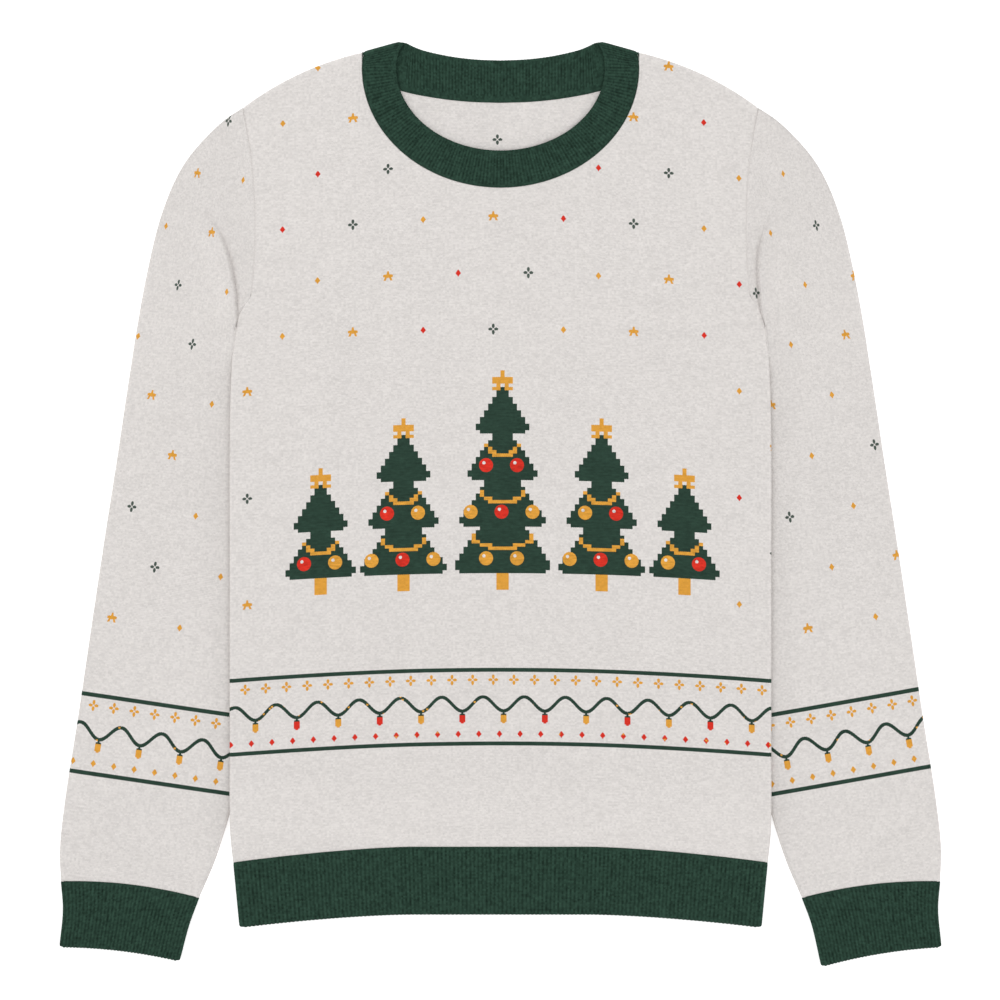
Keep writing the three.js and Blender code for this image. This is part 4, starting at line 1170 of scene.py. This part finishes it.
def rib_tree():
    """Raises rounded ribs along a wall's normals from the rib numbers stored on its points."""
    tree = NodeTree("ribs", ("Rib height", "Roundness"))

    def stored(name):
        return tree.out("GeometryNodeInputNamedAttribute", {"Name": name}, data_type="FLOAT")

    turn = tree.maths("MULTIPLY", stored("rib_number"), 2 * math.pi)
    wave = tree.maths("MULTIPLY_ADD", tree.maths("COSINE", turn), -0.5, 0.5)
    profile = tree.maths("POWER", wave, tree.given["Roundness"])
    shown = tree.maths("ADD", stored("rib_outer"), stored("rib_inner"))
    from_base = tree.maths("SUBTRACT", profile, stored("rib_sunk"))
    amount = tree.maths("MULTIPLY", tree.maths("MULTIPLY", from_base, shown), tree.given["Rib height"])
    normal = tree.out("GeometryNodeInputNormal")
    offset = tree.out("ShaderNodeVectorMath", {0: normal, "Scale": amount}, operation="SCALE")
    tree.finish(tree.out("GeometryNodeSetPosition", {"Geometry": tree.given["Geometry"], "Offset": offset}))
    return tree


def stitch_tree():
    """Lays small slanted stitches along a path, alternately to either side."""
    tree = NodeTree("linked_stitches", ("Spacing", "Length", "Thickness", "Slant"))
    given = tree.given
    path = tree.out("GeometryNodeMeshToCurve", {0: given["Geometry"]})
    points = tree.add("GeometryNodeCurveToPoints", {0: path, "Length": given["Spacing"]}, mode="LENGTH").outputs
    bead = tree.out("GeometryNodeMeshUVSphere", {"Segments": 8, "Rings": 5, "Radius": 0.5})
    thickness = given["Thickness"]
    size = tree.out("ShaderNodeCombineXYZ", {0: thickness, 1: thickness, 2: given["Length"]})
    loop = tree.out("GeometryNodeTransform", {0: bead, "Scale": size})
    side = tree.maths("MODULO", tree.out("GeometryNodeInputIndex"), 2.0)
    side = tree.maths("MULTIPLY_ADD", side, 2.0, -1.0)
    slant = tree.out("ShaderNodeCombineXYZ", {0: tree.maths("MULTIPLY", side, given["Slant"])})
    turn = {0: points["Rotation"], 1: slant}
    turned = tree.out("FunctionNodeRotateRotation", turn, rotation_space="LOCAL")
    stitches = {"Points": points[0], "Instance": loop, "Rotation": turned}
    placed = tree.out("GeometryNodeInstanceOnPoints", stitches)
    realized = tree.out("GeometryNodeRealizeInstances", {0: placed})
    tree.finish(tree.out("GeometryNodeSetShadeSmooth", {0: realized}))
    return tree


def apply_tree(piece, tree, values):
    """Runs a node tree on a piece and keeps the result as its plain mesh."""
    modifier = piece.modifiers.new(tree.tree.name, "NODES")
    modifier.node_group = tree.tree
    for label, value in values.items():
        modifier[tree.identifiers[label]] = value
    depsgraph = bpy.context.evaluated_depsgraph_get()
    baked = bpy.data.meshes.new_from_object(
        piece.evaluated_get(depsgraph), preserve_all_data_layers=True, depsgraph=depsgraph)
    piece.modifiers.clear()
    piece.data = baked
    return piece


# ---------------------------------------------------------------- settings


class SweaterColours(bpy.types.PropertyGroup):
    """Colours of the yarns and of the floor."""

    knit: bpy.props.FloatVectorProperty(
        name="Knit", description="Light heathered yarn of body and sleeves", subtype="COLOR", size=4,
        min=0, max=1, default=(0.705, 0.673, 0.651, 1))
    rib: bpy.props.FloatVectorProperty(
        name="Rib", description="Dark green yarn of the bands and motifs", subtype="COLOR", size=4,
        min=0, max=1, default=(0.0225, 0.0500, 0.0350, 1))
    mustard: bpy.props.FloatVectorProperty(
        name="Mustard", description="Mustard yarn of the motifs", subtype="COLOR", size=4,
        min=0, max=1, default=(0.70, 0.33, 0.047, 1))
    red: bpy.props.FloatVectorProperty(
        name="Red", description="Red yarn of the motifs", subtype="COLOR", size=4,
        min=0, max=1, default=(0.64, 0.031, 0.018, 1))
    floor: bpy.props.FloatVectorProperty(
        name="Floor", description="Pale floor under the sweater", subtype="COLOR", size=4,
        min=0, max=1, default=(0.93, 0.93, 0.93, 1))


class SweaterRibbing(bpy.types.PropertyGroup):
    """Ribs of the hem, cuffs and neckband, and the linked seams, in millimetres."""

    band_pitch: bpy.props.FloatProperty(
        name="Band rib pitch", description="From rib to rib on hem and cuffs, in mm",
        default=3.3, min=1.5, max=8)
    collar_pitch: bpy.props.FloatProperty(
        name="Neckband rib pitch", description="From rib to rib round the neck, in mm",
        default=2.55, min=1.5, max=8)
    band_height: bpy.props.FloatProperty(
        name="Band rib height", description="How far ribs stand out of hem and cuffs, in mm",
        default=0.5, min=0, max=1.5)
    collar_height: bpy.props.FloatProperty(
        name="Neckband rib height", description="How far ribs stand out of the neckband, in mm",
        default=0.45, min=0, max=1.5)
    stitch_spacing: bpy.props.FloatProperty(
        name="Seam stitch spacing", description="From stitch to stitch along a linked seam, in mm",
        default=1.0, min=0.8, max=5)


def ribbing():
    return bpy.context.scene.sweater_ribbing


def material_named(name, make):
    """The material of that name, made once."""
    return bpy.data.materials.get(name) or make(name)


def settle(piece, node):
    """A finished piece stands for its CAD node and rides on the sweater's one body."""
    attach(piece, "root")
    if node:
        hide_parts(node)


def raise_ribs(piece, tree, height):
    """Raises a band's ribs to a height in millimetres."""
    yarn = piece.data.materials[0]
    apply_tree(piece, tree, {"Rib height": height * MM, "Roundness": RIB_ROUNDNESS, "Material": yarn})


def mirror_wall(wall):
    for grid in (wall.middle, wall.normal):
        grid[..., 0] *= -1


# ---------------------------------------------------------------- operators


class SWEATER_OT_stage(bpy.types.Operator):
    """Floor, soft studio light and the camera straight above the sweater"""

    bl_idname = "sweater.stage"
    bl_label = "Stage"

    def execute(self, context):
        scene = context.scene
        shader = Shader("floor_paper")
        surface = shader.add("ShaderNodeBsdfPrincipled", {
            "Base Color": tuple(scene.sweater_colours.floor), "Roughness": 0.95, "Specular IOR Level": 0.1,
            "Emission Color": (1.0, 1.0, 1.0, 1.0), "Emission Strength": FLOOR_GLOW,
        })[0]
        shader.add("ShaderNodeOutputMaterial", {"Surface": surface})
        corners = [(x * FLOOR_HALF, y * FLOOR_HALF, FLOOR_Z) for x, y in ((-1, -1), (1, -1), (1, 1), (-1, 1))]
        mesh = bpy.data.meshes.new("floor")
        mesh.from_pydata(corners, [], [(0, 1, 2, 3)])
        mesh.materials.append(shader.material)
        floor = bpy.data.objects.new("floor", mesh)
        scene.collection.objects.link(floor)

        for name, place, size, power in LIGHTS:
            light = bpy.data.lights.new(name, "AREA")
            light.size, light.energy = size, power
            lamp = bpy.data.objects.new(name, light)
            lamp.location = place
            # each lamp looks at the middle of the sweater
            x, y, z = place
            lamp.rotation_euler = (math.acos(z / np.linalg.norm(place)), 0, math.atan2(y, x) + math.pi / 2)
            scene.collection.objects.link(lamp)

        world = bpy.data.worlds.new("studio")
        world.use_nodes = True
        background = world.node_tree.nodes["Background"].inputs
        background["Color"].default_value = (1, 1, 1, 1)
        background["Strength"].default_value = WORLD_STRENGTH
        scene.world = world

        camera = bpy.data.objects.new("camera", bpy.data.cameras.new("camera"))
        camera.data.lens, camera.data.sensor_width = CAMERA_LENS, CAMERA_SENSOR
        camera.location = CAMERA_PLACE
        scene.collection.objects.link(camera)
        scene.camera = camera
        scene.view_settings.view_transform = "Standard"
        return {"FINISHED"}


class SWEATER_OT_body(bpy.types.Operator):
    """Front and back panels with their pattern"""

    bl_idname = "sweater.body"
    bl_label = "Front and back panels"

    def execute(self, context):
        def front_swell(x, y):
            return soft_swell(x, y, 4) * FRONT_SWELL + hem_gathers(x, y) * GATHER_HEIGHT

        front_knit = material_named("knit_front", knit_material)
        back_knit = material_named("knit_back", knit_material)
        front = wall_object("front", body_wall(FRONT_NECK, 1, FRONT_MID, front_lift, front_swell), front_knit)
        back = wall_object("back", body_wall(BACK_NECK, -1, BACK_MID, back_lift, lambda x, y: 0 * x), back_knit)
        settle(front, "front_panel")
        settle(back, "back_panel")
        return {"FINISHED"}


class SWEATER_OT_hem(bpy.types.Operator):
    """Ribbed hem bands in front and behind"""

    bl_idname = "sweater.hem"
    bl_label = "Hem bands"

    def execute(self, context):
        rib = material_named("rib_knit", rib_material)
        tree = rib_tree()
        for name, facing, middle, lift in (
            ("hem_front", 1, BAND_FRONT_MID, front_lift), ("hem_back", -1, BAND_BACK_MID, back_lift),
        ):
            piece = wall_object(name + "_band", hem_wall(facing, middle, lift), rib)
            raise_ribs(piece, tree, ribbing().band_height)
            settle(piece, name)
        return {"FINISHED"}


SLEEVE_MAPS = {
    # tilt of the rows, the middle column, and where the pattern's rows and columns start
    "right": {"tilt": math.radians(8.35), "column": 245.0, "rise": 54.1, "start": 17 * STITCH_W},
    "left": {"tilt": math.radians(10.0), "column": 245.0, "rise": 59.3, "start": 0.0},
}
SLEEVE_STRETCH = 1.062
# Columns of stitches close up towards the shoulder: by how much, from where to where along the sleeve.
SLEEVE_SQUEEZE = ((0.10, -200.0, 0.0), (0.42, 0.0, 200.0))


def sleeve_map(side):
    """The knit's own map of a sleeve: columns along the sleeve, rows across it, all round the tube."""
    facts = SLEEVE_MAPS[side]
    cos, sin = math.cos(facts["tilt"]), math.sin(facts["tilt"])

    def flat(x, y):
        along = -x * sin + y * cos
        squeeze = 1.0 + sum(more * smoothstep(along, low, high) for more, low, high in SLEEVE_SQUEEZE)
        return (x * cos + y * sin - facts["column"]) * squeeze, along / SLEEVE_STRETCH + facts["rise"]

    def map_of(points, width, share, angle, outward, edge_radius):
        top_across, top_along = flat(points[..., 0], points[..., 1])
        turn_length = math.pi * edge_radius
        edge_across = top_across[:, share[0].argmin()][:, None]
        # round the outer edge, back along the underside, then round the hidden inner edge
        turned = (math.pi / 2 - angle) / math.pi * turn_length
        back = edge_across * 2 - top_across + turn_length
        around = np.where(angle < -1.5, back, edge_across + turned)
        around = np.where(outward < 0, back + turn_length * (angle + math.pi / 2) / math.pi, around)
        across = np.where(angle > 1.5, top_across, around)
        table = np.stack([across + facts["start"], top_along], axis=-1)
        closing = table[:, -1:] + np.array([1.0, 0.0])
        return np.concatenate([table, closing], axis=1)

    return map_of


class SWEATER_OT_sleeves(bpy.types.Operator):
    """Both sleeves, creased where they turn down at the underarm"""

    bl_idname = "sweater.sleeves"
    bl_label = "Sleeves"

    def execute(self, context):
        places = np.unique(np.concatenate([np.linspace(0, 1, SLEEVE_ROWS + 1), SLEEVE_END_ROWS]))
        for side, sign, seed in (("right", -1, 11), ("left", 1, 23)):
            creases = SLEEVE_CREASES[side]

            def relief(x, y, share_across, s):
                raised, _ = creased(creases, x, y)
                along_window = smoothstep(s, 0.05, 0.14) * (1 - smoothstep(s, 0.9, 0.99))
                window = smoothstep(share_across, 0.0, 0.12) * along_window
                free = smoothstep(x, 222, 246) * smoothstep(-y, -150, -60) + smoothstep(y, 150, 176)
                swell = soft_swell(x * sign, y, seed) * window * np.clip(free, 0, 1)
                edges = smoothstep(share_across, 0.0, 0.06) * smoothstep(s, 0.0, 0.02)
                return swell + raised * edges + armpit_rise(x, y)

            wall, _ = tube_wall(
                SLEEVE_SECTIONS, places, section_loop(SLEEVE_SPANS, SLEEVE_UNDER_SPANS), KNIT_WALL,
                (FRONT_MID, BACK_MID), relief, sleeve_map(side), seam_inset=SEAM_GAP / 2, tuck=SLEEVE_TUCK)
            on_top = wall.normal[..., 2] > 0.9
            from_seam = np.minimum(places, 1 - places)[:, None]
            wall.outer_half -= SEAM_DIP * np.exp(-from_seam / SLEEVE_DIP_SHARE) * on_top
            x, y = wall.middle[..., 0], wall.middle[..., 1]
            # painted shade of the creases and of the body's edge, and painted light over the sleeve cap
            tone = creased(creases, x, y)[1] + side_shadow(x, y) - CAP_PAINTED_LIGHT * smoothstep(y, *CAP_RANGE)
            wall.tone = tone * on_top
            if sign < 0:
                mirror_wall(wall)
            knit = material_named("knit_sleeve_" + side, knit_material)
            piece = wall_object("sleeve_" + side + "_knit", wall, knit)
            settle(piece, "sleeve_" + side)
        return {"FINISHED"}


class SWEATER_OT_cuffs(bpy.types.Operator):
    """Ribbed cuffs"""

    bl_idname = "sweater.cuffs"
    bl_label = "Cuffs"

    def execute(self, context):
        rib = material_named("rib_knit", rib_material)
        tree = rib_tree()
        for side, sign in (("right", -1), ("left", 1)):
            sections = CUFF_SECTIONS[side]
            ribs = round((sections[0][0] - sections[0][2]) / ribbing().band_pitch)
            spans = ribs * SPANS_PER_RIB
            loop = section_loop(spans, spans)

            def map_of(points, width, share, angle, outward, edge_radius):
                across = np.broadcast_to(share * width, points.shape[:2])
                under = np.where(angle < 1.5, width * 2 + 8 - across, across)
                table = np.stack([np.where(angle > 1.5, width - across, under), points[..., 1]], axis=-1)
                return np.concatenate([table, table[:, -1:]], axis=1)

            wall, to_neck = tube_wall(
                sections, BAND_SHARES, loop, BAND_WALL, (BAND_FRONT_MID, BAND_BACK_MID),
                lambda x, y, share, s: 0 * x, map_of, corner=CUFF_CORNER, end_trim=BAND_WALL / 2)
            share, angle, _ = loop
            flat = np.abs(np.sin(angle)) > 0.99
            shown = flat * smoothstep(BAND_SHARES, -0.01, 0.05)[:, None] * np.ones(wall.middle.shape[:2])
            number = np.broadcast_to(share * ribs, shown.shape)
            sunk = np.broadcast_to((angle < 0) * 1.0, shown.shape)
            wall.ribs = np.stack([number, shown, np.zeros_like(shown), sunk], axis=-1)
            dip = BAND_DIP * np.exp(-BAND_SHARES / BAND_DIP_SHARE)[:, None]
            wall.outer_half -= dip * (wall.normal[..., 2] > 0.9)
            wall.round_end(np.append(-to_neck[-1], 0.0), BAND_WALL / 2)
            if sign < 0:
                mirror_wall(wall)
            piece = wall_object("cuff_" + side + "_band", wall, rib)
            raise_ribs(piece, tree, ribbing().band_height)
            settle(piece, "cuff_" + side)
        return {"FINISHED"}


def collar_sections(pitch):
    """Sections of half the neckband, a few to each rib: seam point, free edge point and the wall's normal."""
    up = np.array([0.0, 0.0, 1.0])

    def raised(points, height):
        return np.concatenate([points, np.broadcast_to(height, points.shape[:1])[:, None]], axis=1)

    middle = [(a + b) / 2 for a, b in zip(NECK_SEAM, NECK_EDGE)]
    angles = np.linspace(0, math.pi / 2, 400)
    quarter = Line(ellipse_points(middle, angles))
    count = SPANS_PER_RIB * round(quarter.length / pitch)
    angle = np.interp(np.linspace(0, 1, count + 1), quarter.reached / quarter.length, angles)
    height = mix(COLLAR_FRONT_MID, COLLAR_TOP_MID, smoothstep(angle, *COLLAR_RISE))
    seams = [raised(ellipse_points(NECK_SEAM, angle), height)]
    edges = [raised(ellipse_points(NECK_EDGE, angle), height)]
    normals = [np.broadcast_to(up, seams[0].shape)]

    # the straight rise to the shoulder, then the half turn round the fold line
    outward = clockwise(np.subtract(COLLAR_PEAK, NECK_CORNER))
    radius = (COLLAR_TOP_MID - COLLAR_BACK_MID) / 2
    inset = radius + COLLAR_WALL / 2
    seam_end, edge_end = np.array(NECK_CORNER) - outward * inset, np.array(COLLAR_PEAK) - outward * inset
    count = SPANS_PER_RIB * round((edge_end[1] - NECK_CENTRE_Y) / pitch)
    t = np.linspace(0, 1, count + 1)[1:]
    rise = bent_line((NECK_EDGE[0], NECK_CENTRE_Y), COLLAR_RISE_BEND, edge_end)
    seams.append(raised(mix(np.array([NECK_SEAM[0], NECK_CENTRE_Y]), seam_end, t[:, None]), COLLAR_TOP_MID))
    edges.append(raised(rise.at_knots(t), COLLAR_TOP_MID))
    normals.append(np.broadcast_to(up, seams[-1].shape))
    along_fold = unit(np.subtract(COLLAR_PEAK, NECK_CORNER))
    back_start = edge_end + outward * BACK_EDGE_SPREAD
    turn_count = SPANS_PER_RIB * FOLD_RIBS
    for share in np.arange(1, turn_count) / turn_count:
        tilt = math.pi * (0.5 - share)
        normal = np.append(outward * math.cos(tilt), math.sin(tilt))
        # the free edge is rounded at the peak, and below the fold it runs out again to the back's own edge
        rounding = -along_fold * PEAK_ROUNDING * math.cos(tilt) ** 4
        spread = (back_start - edge_end) * (1 - math.cos(tilt)) * (tilt < 0)
        for ends, end in ((seams, seam_end), (edges, edge_end + rounding + spread)):
            ends.append((np.append(end, COLLAR_BACK_MID + radius) + normal * radius)[None])
        normals.append(normal[None])

    seam_line = smooth_line([seam_end, *BACK_NECK_SEAM[1:]])
    edge_line = smooth_line([back_start, *BACK_NECK_EDGE[1:]])
    count = SPANS_PER_RIB * round(seam_line.length / pitch)
    t = np.linspace(0, 1, count + 1)
    seam_points = seam_line.at(t)
    # the ribs stand upright behind the neck and crowd together where the fold hides them
    reach, upright = back_start[0], COLLAR_UPRIGHT_X
    crowded = np.clip((seam_points[:, 0] - upright) / (seam_end[0] - upright), 0, 1)
    slow = (seam_end[0] - upright) / (reach - upright)
    x = np.minimum(seam_points[:, 0], upright) + (reach - upright) * (1 - (1 - crowded) ** slow)
    order = np.argsort(edge_line.points[:, 0])
    edge_points = np.column_stack([x, np.interp(x, edge_line.points[order, 0], edge_line.points[order, 1])])
    seams.append(raised(seam_points, COLLAR_BACK_MID))
    edges.append(raised(edge_points, COLLAR_BACK_MID))
    normals.append(np.broadcast_to(-up, seams[-1].shape))
    return np.concatenate(seams), np.concatenate(edges), np.concatenate(normals)


class SWEATER_OT_neckband(bpy.types.Operator):
    """Doubled ribbed neckband, folded over at the shoulders"""

    bl_idname = "sweater.neckband"
    bl_label = "Neckband"

    def execute(self, context):
        rib = material_named("rib_knit", rib_material)
        seam, edge, normal = collar_sections(ribbing().collar_pitch)
        flip = np.array([-1.0, 1.0, 1.0])
        number = np.arange(len(seam)) / SPANS_PER_RIB
        seam, edge, normal = (np.concatenate([half, half[-2:0:-1] * flip]) for half in (seam, edge, normal))
        number = np.concatenate([number, number[-2:0:-1]])
        across = unit(edge - seam)
        half = COLLAR_WALL / 2
        start, stop = seam + across * SEAM_GAP / 2, edge - across * half
        t = np.array(COLLAR_ROWS)[:, None]
        middle = mix(start, stop, t[..., None])
        grid = middle.shape[:2]
        normals = np.broadcast_to(normal, middle.shape).copy()
        rounded = half - COLLAR_DIP * np.exp(-t / COLLAR_DIP_SHARE)
        facing_down = normal[:, 2] < -0.5
        uncovered = 1 - smoothstep(np.abs(edge[:, 0]), COLLAR_COVERED_X - 3, COLLAR_COVERED_X)
        # ribs fade in at the seam and soften towards the free edge
        fade = smoothstep(t, 0.0, 0.1) * (1 - 0.65 * smoothstep(t, 0.86, 1.0))
        outer_rib = np.where(facing_down, uncovered, 1.0)[None] * fade
        # inside the back a plain strip covers the seam
        inner_rib = (facing_down * uncovered)[None] * fade * smoothstep(t, *COLLAR_STRIP)
        # the face that lies down has its ribs sunk in, the face that shows has them raised
        sunk = smoothstep(-normal[:, 2], -0.2, 0.6)
        numbers = np.broadcast_to(number, grid)
        ribs = np.stack([numbers, outer_rib, inner_rib, np.broadcast_to(sunk, grid)], axis=-1)
        outer_half = np.where(facing_down, half, rounded)
        inner_half = np.where(facing_down, rounded, half)
        centre = (seam + edge) / 2
        steps = np.linalg.norm(np.diff(centre, axis=0, append=centre[:1]), axis=1)
        around = np.concatenate([[0.0], np.cumsum(steps)])
        knit_map = np.stack(np.broadcast_arrays(around, t * COLLAR_MAP_WIDTH), axis=-1)
        wall = Wall(middle, normals, outer_half, inner_half, knit_map, closed=True, ribs=ribs)
        wall.round_end(across, half)
        piece = wall_object("neckband_rib", wall, rib)
        raise_ribs(piece, rib_tree(), ribbing().collar_height)
        settle(piece, "neckband")
        return {"FINISHED"}


class SWEATER_OT_seams(bpy.types.Operator):
    """Linked stitches along the seams that show"""

    bl_idname = "sweater.seams"
    bl_label = "Linked seams"

    def execute(self, context):
        tree = stitch_tree()
        rib = material_named("rib_knit", rib_material)
        knit = material_named("seam_yarn", seam_yarn_material)
        for name, paths, material, slot_name in seam_paths(knit, rib):
            points, edges = [], []
            for path in paths:
                first = len(points)
                points.extend((np.asarray(path) * MM).tolist())
                edges.extend((k, k + 1) for k in range(first, len(points) - 1))
            mesh = bpy.data.meshes.new(name)
            mesh.from_pydata(points, edges, [])
            mesh.materials.append(material)
            piece = bpy.data.objects.new(name, mesh)
            context.collection.objects.link(piece)
            apply_tree(piece, tree, {
                "Spacing": ribbing().stitch_spacing * MM, "Length": STITCH_LENGTH * MM,
                "Thickness": STITCH_THICKNESS * MM, "Slant": STITCH_TURN, "Material": material,
            })
            settle(piece, None)
        return {"FINISHED"}


def seam_paths(knit, rib):
    """Paths of the linked seams: armholes, neck in front and behind, hem and cuffs."""

    def mirrored(path):
        return [path, path * np.array([-1.0, 1.0, 1.0])]

    armhole = ARMHOLE.at(np.linspace(0.01, 0.985, 90))
    height = FRONT_TOP + front_lift(armhole[:, 0], armhole[:, 1]) - ARMHOLE_SINK
    armholes = mirrored(np.column_stack([armhole, height]))
    x = np.linspace(-SIDE_SEAM[0][0] + 2.6, SIDE_SEAM[0][0] - 2.6, 200)
    y = hem_seam_y(x)
    hem = np.column_stack([x, y, FRONT_TOP + front_lift(x, y) - BAND_SEAM_SINK])
    angle = np.linspace(0, math.pi / 2, 200)
    ring = ellipse_points((NECK_SEAM[0] + 0.1, NECK_SEAM[1] + 0.1), angle)
    ring_height = FRONT_TOP - NECK_SINK + front_lift(ring[:, 0], ring[:, 1])
    # past the ellipse the seam goes on straight up, over the shoulder's fold
    top, corner_x, corner_y = FRONT_TOP - NECK_SINK, *NECK_CORNER
    rise = [
        (corner_x - 0.2, corner_y - 6.0, top), (corner_x - 0.35, corner_y - 2.6, top - 0.1),
        (corner_x - 0.3, corner_y - 0.9, top - 0.8), (corner_x - 0.2, corner_y - 0.3, top - 1.9),
    ]
    neck = mirrored(np.concatenate([np.column_stack([ring, ring_height]), rise]))
    behind = BACK_NECK.at(np.linspace(0.3, 1, 80))
    inside = mirrored(np.column_stack([behind, np.full(len(behind), KNIT_WALL + 0.15)]))
    cuffs = []
    *ends, bow, _ = SLEEVE_SECTIONS[-1]
    outer, inner = np.reshape(ends, (2, 2))
    share = np.linspace(0.03, 0.97, 80)[:, None]
    for sign in (-1.0, 1.0):
        line = mix(outer, inner, share) + clockwise(unit(inner - outer)) * 4 * share * (1 - share) * bow
        line[:, 1] -= SEAM_GAP / 2
        path = np.column_stack([line, np.full(len(line), FRONT_TOP - BAND_SEAM_SINK)])
        cuffs.append(path * np.array([sign, 1.0, 1.0]))
    return (
        ("armhole_stitches", armholes, knit, "knit_light"),
        ("neck_stitches", neck + inside, rib, "rib_green"),
        ("hem_stitches", [hem], rib, "rib_green"),
        ("cuff_stitches", cuffs, rib, "rib_green"),
    )


class SWEATER_PT_panel(bpy.types.Panel):
    """Sweater settings and steps"""

    bl_idname = "SWEATER_PT_panel"
    bl_label = "Sweater"
    bl_space_type = "VIEW_3D"
    bl_region_type = "UI"
    bl_category = "Sweater"

    def draw(self, context):
        for group in (context.scene.sweater_colours, context.scene.sweater_ribbing):
            for name in group.bl_rna.properties.keys():
                if name not in ("rna_type", "name"):
                    self.layout.prop(group, name)
        for step in STEPS:
            self.layout.operator(step.bl_idname)


STEPS = (
    SWEATER_OT_stage, SWEATER_OT_body, SWEATER_OT_hem, SWEATER_OT_sleeves,
    SWEATER_OT_cuffs, SWEATER_OT_neckband, SWEATER_OT_seams,
)
CLASSES = (SweaterColours, SweaterRibbing, *STEPS, SWEATER_PT_panel)


def register():
    for made in CLASSES:
        bpy.utils.register_class(made)
    bpy.types.Scene.sweater_colours = bpy.props.PointerProperty(type=SweaterColours)
    bpy.types.Scene.sweater_ribbing = bpy.props.PointerProperty(type=SweaterRibbing)


def unregister():
    del bpy.types.Scene.sweater_colours
    del bpy.types.Scene.sweater_ribbing
    for made in reversed(CLASSES):
        bpy.utils.unregister_class(made)


def main():
    register()
    bpy.ops.sweater.stage()
    bpy.ops.sweater.body()
    bpy.ops.sweater.hem()
    bpy.ops.sweater.sleeves()
    bpy.ops.sweater.cuffs()
    bpy.ops.sweater.neckband()
    bpy.ops.sweater.seams()


if __name__ == "__main__":
    main()
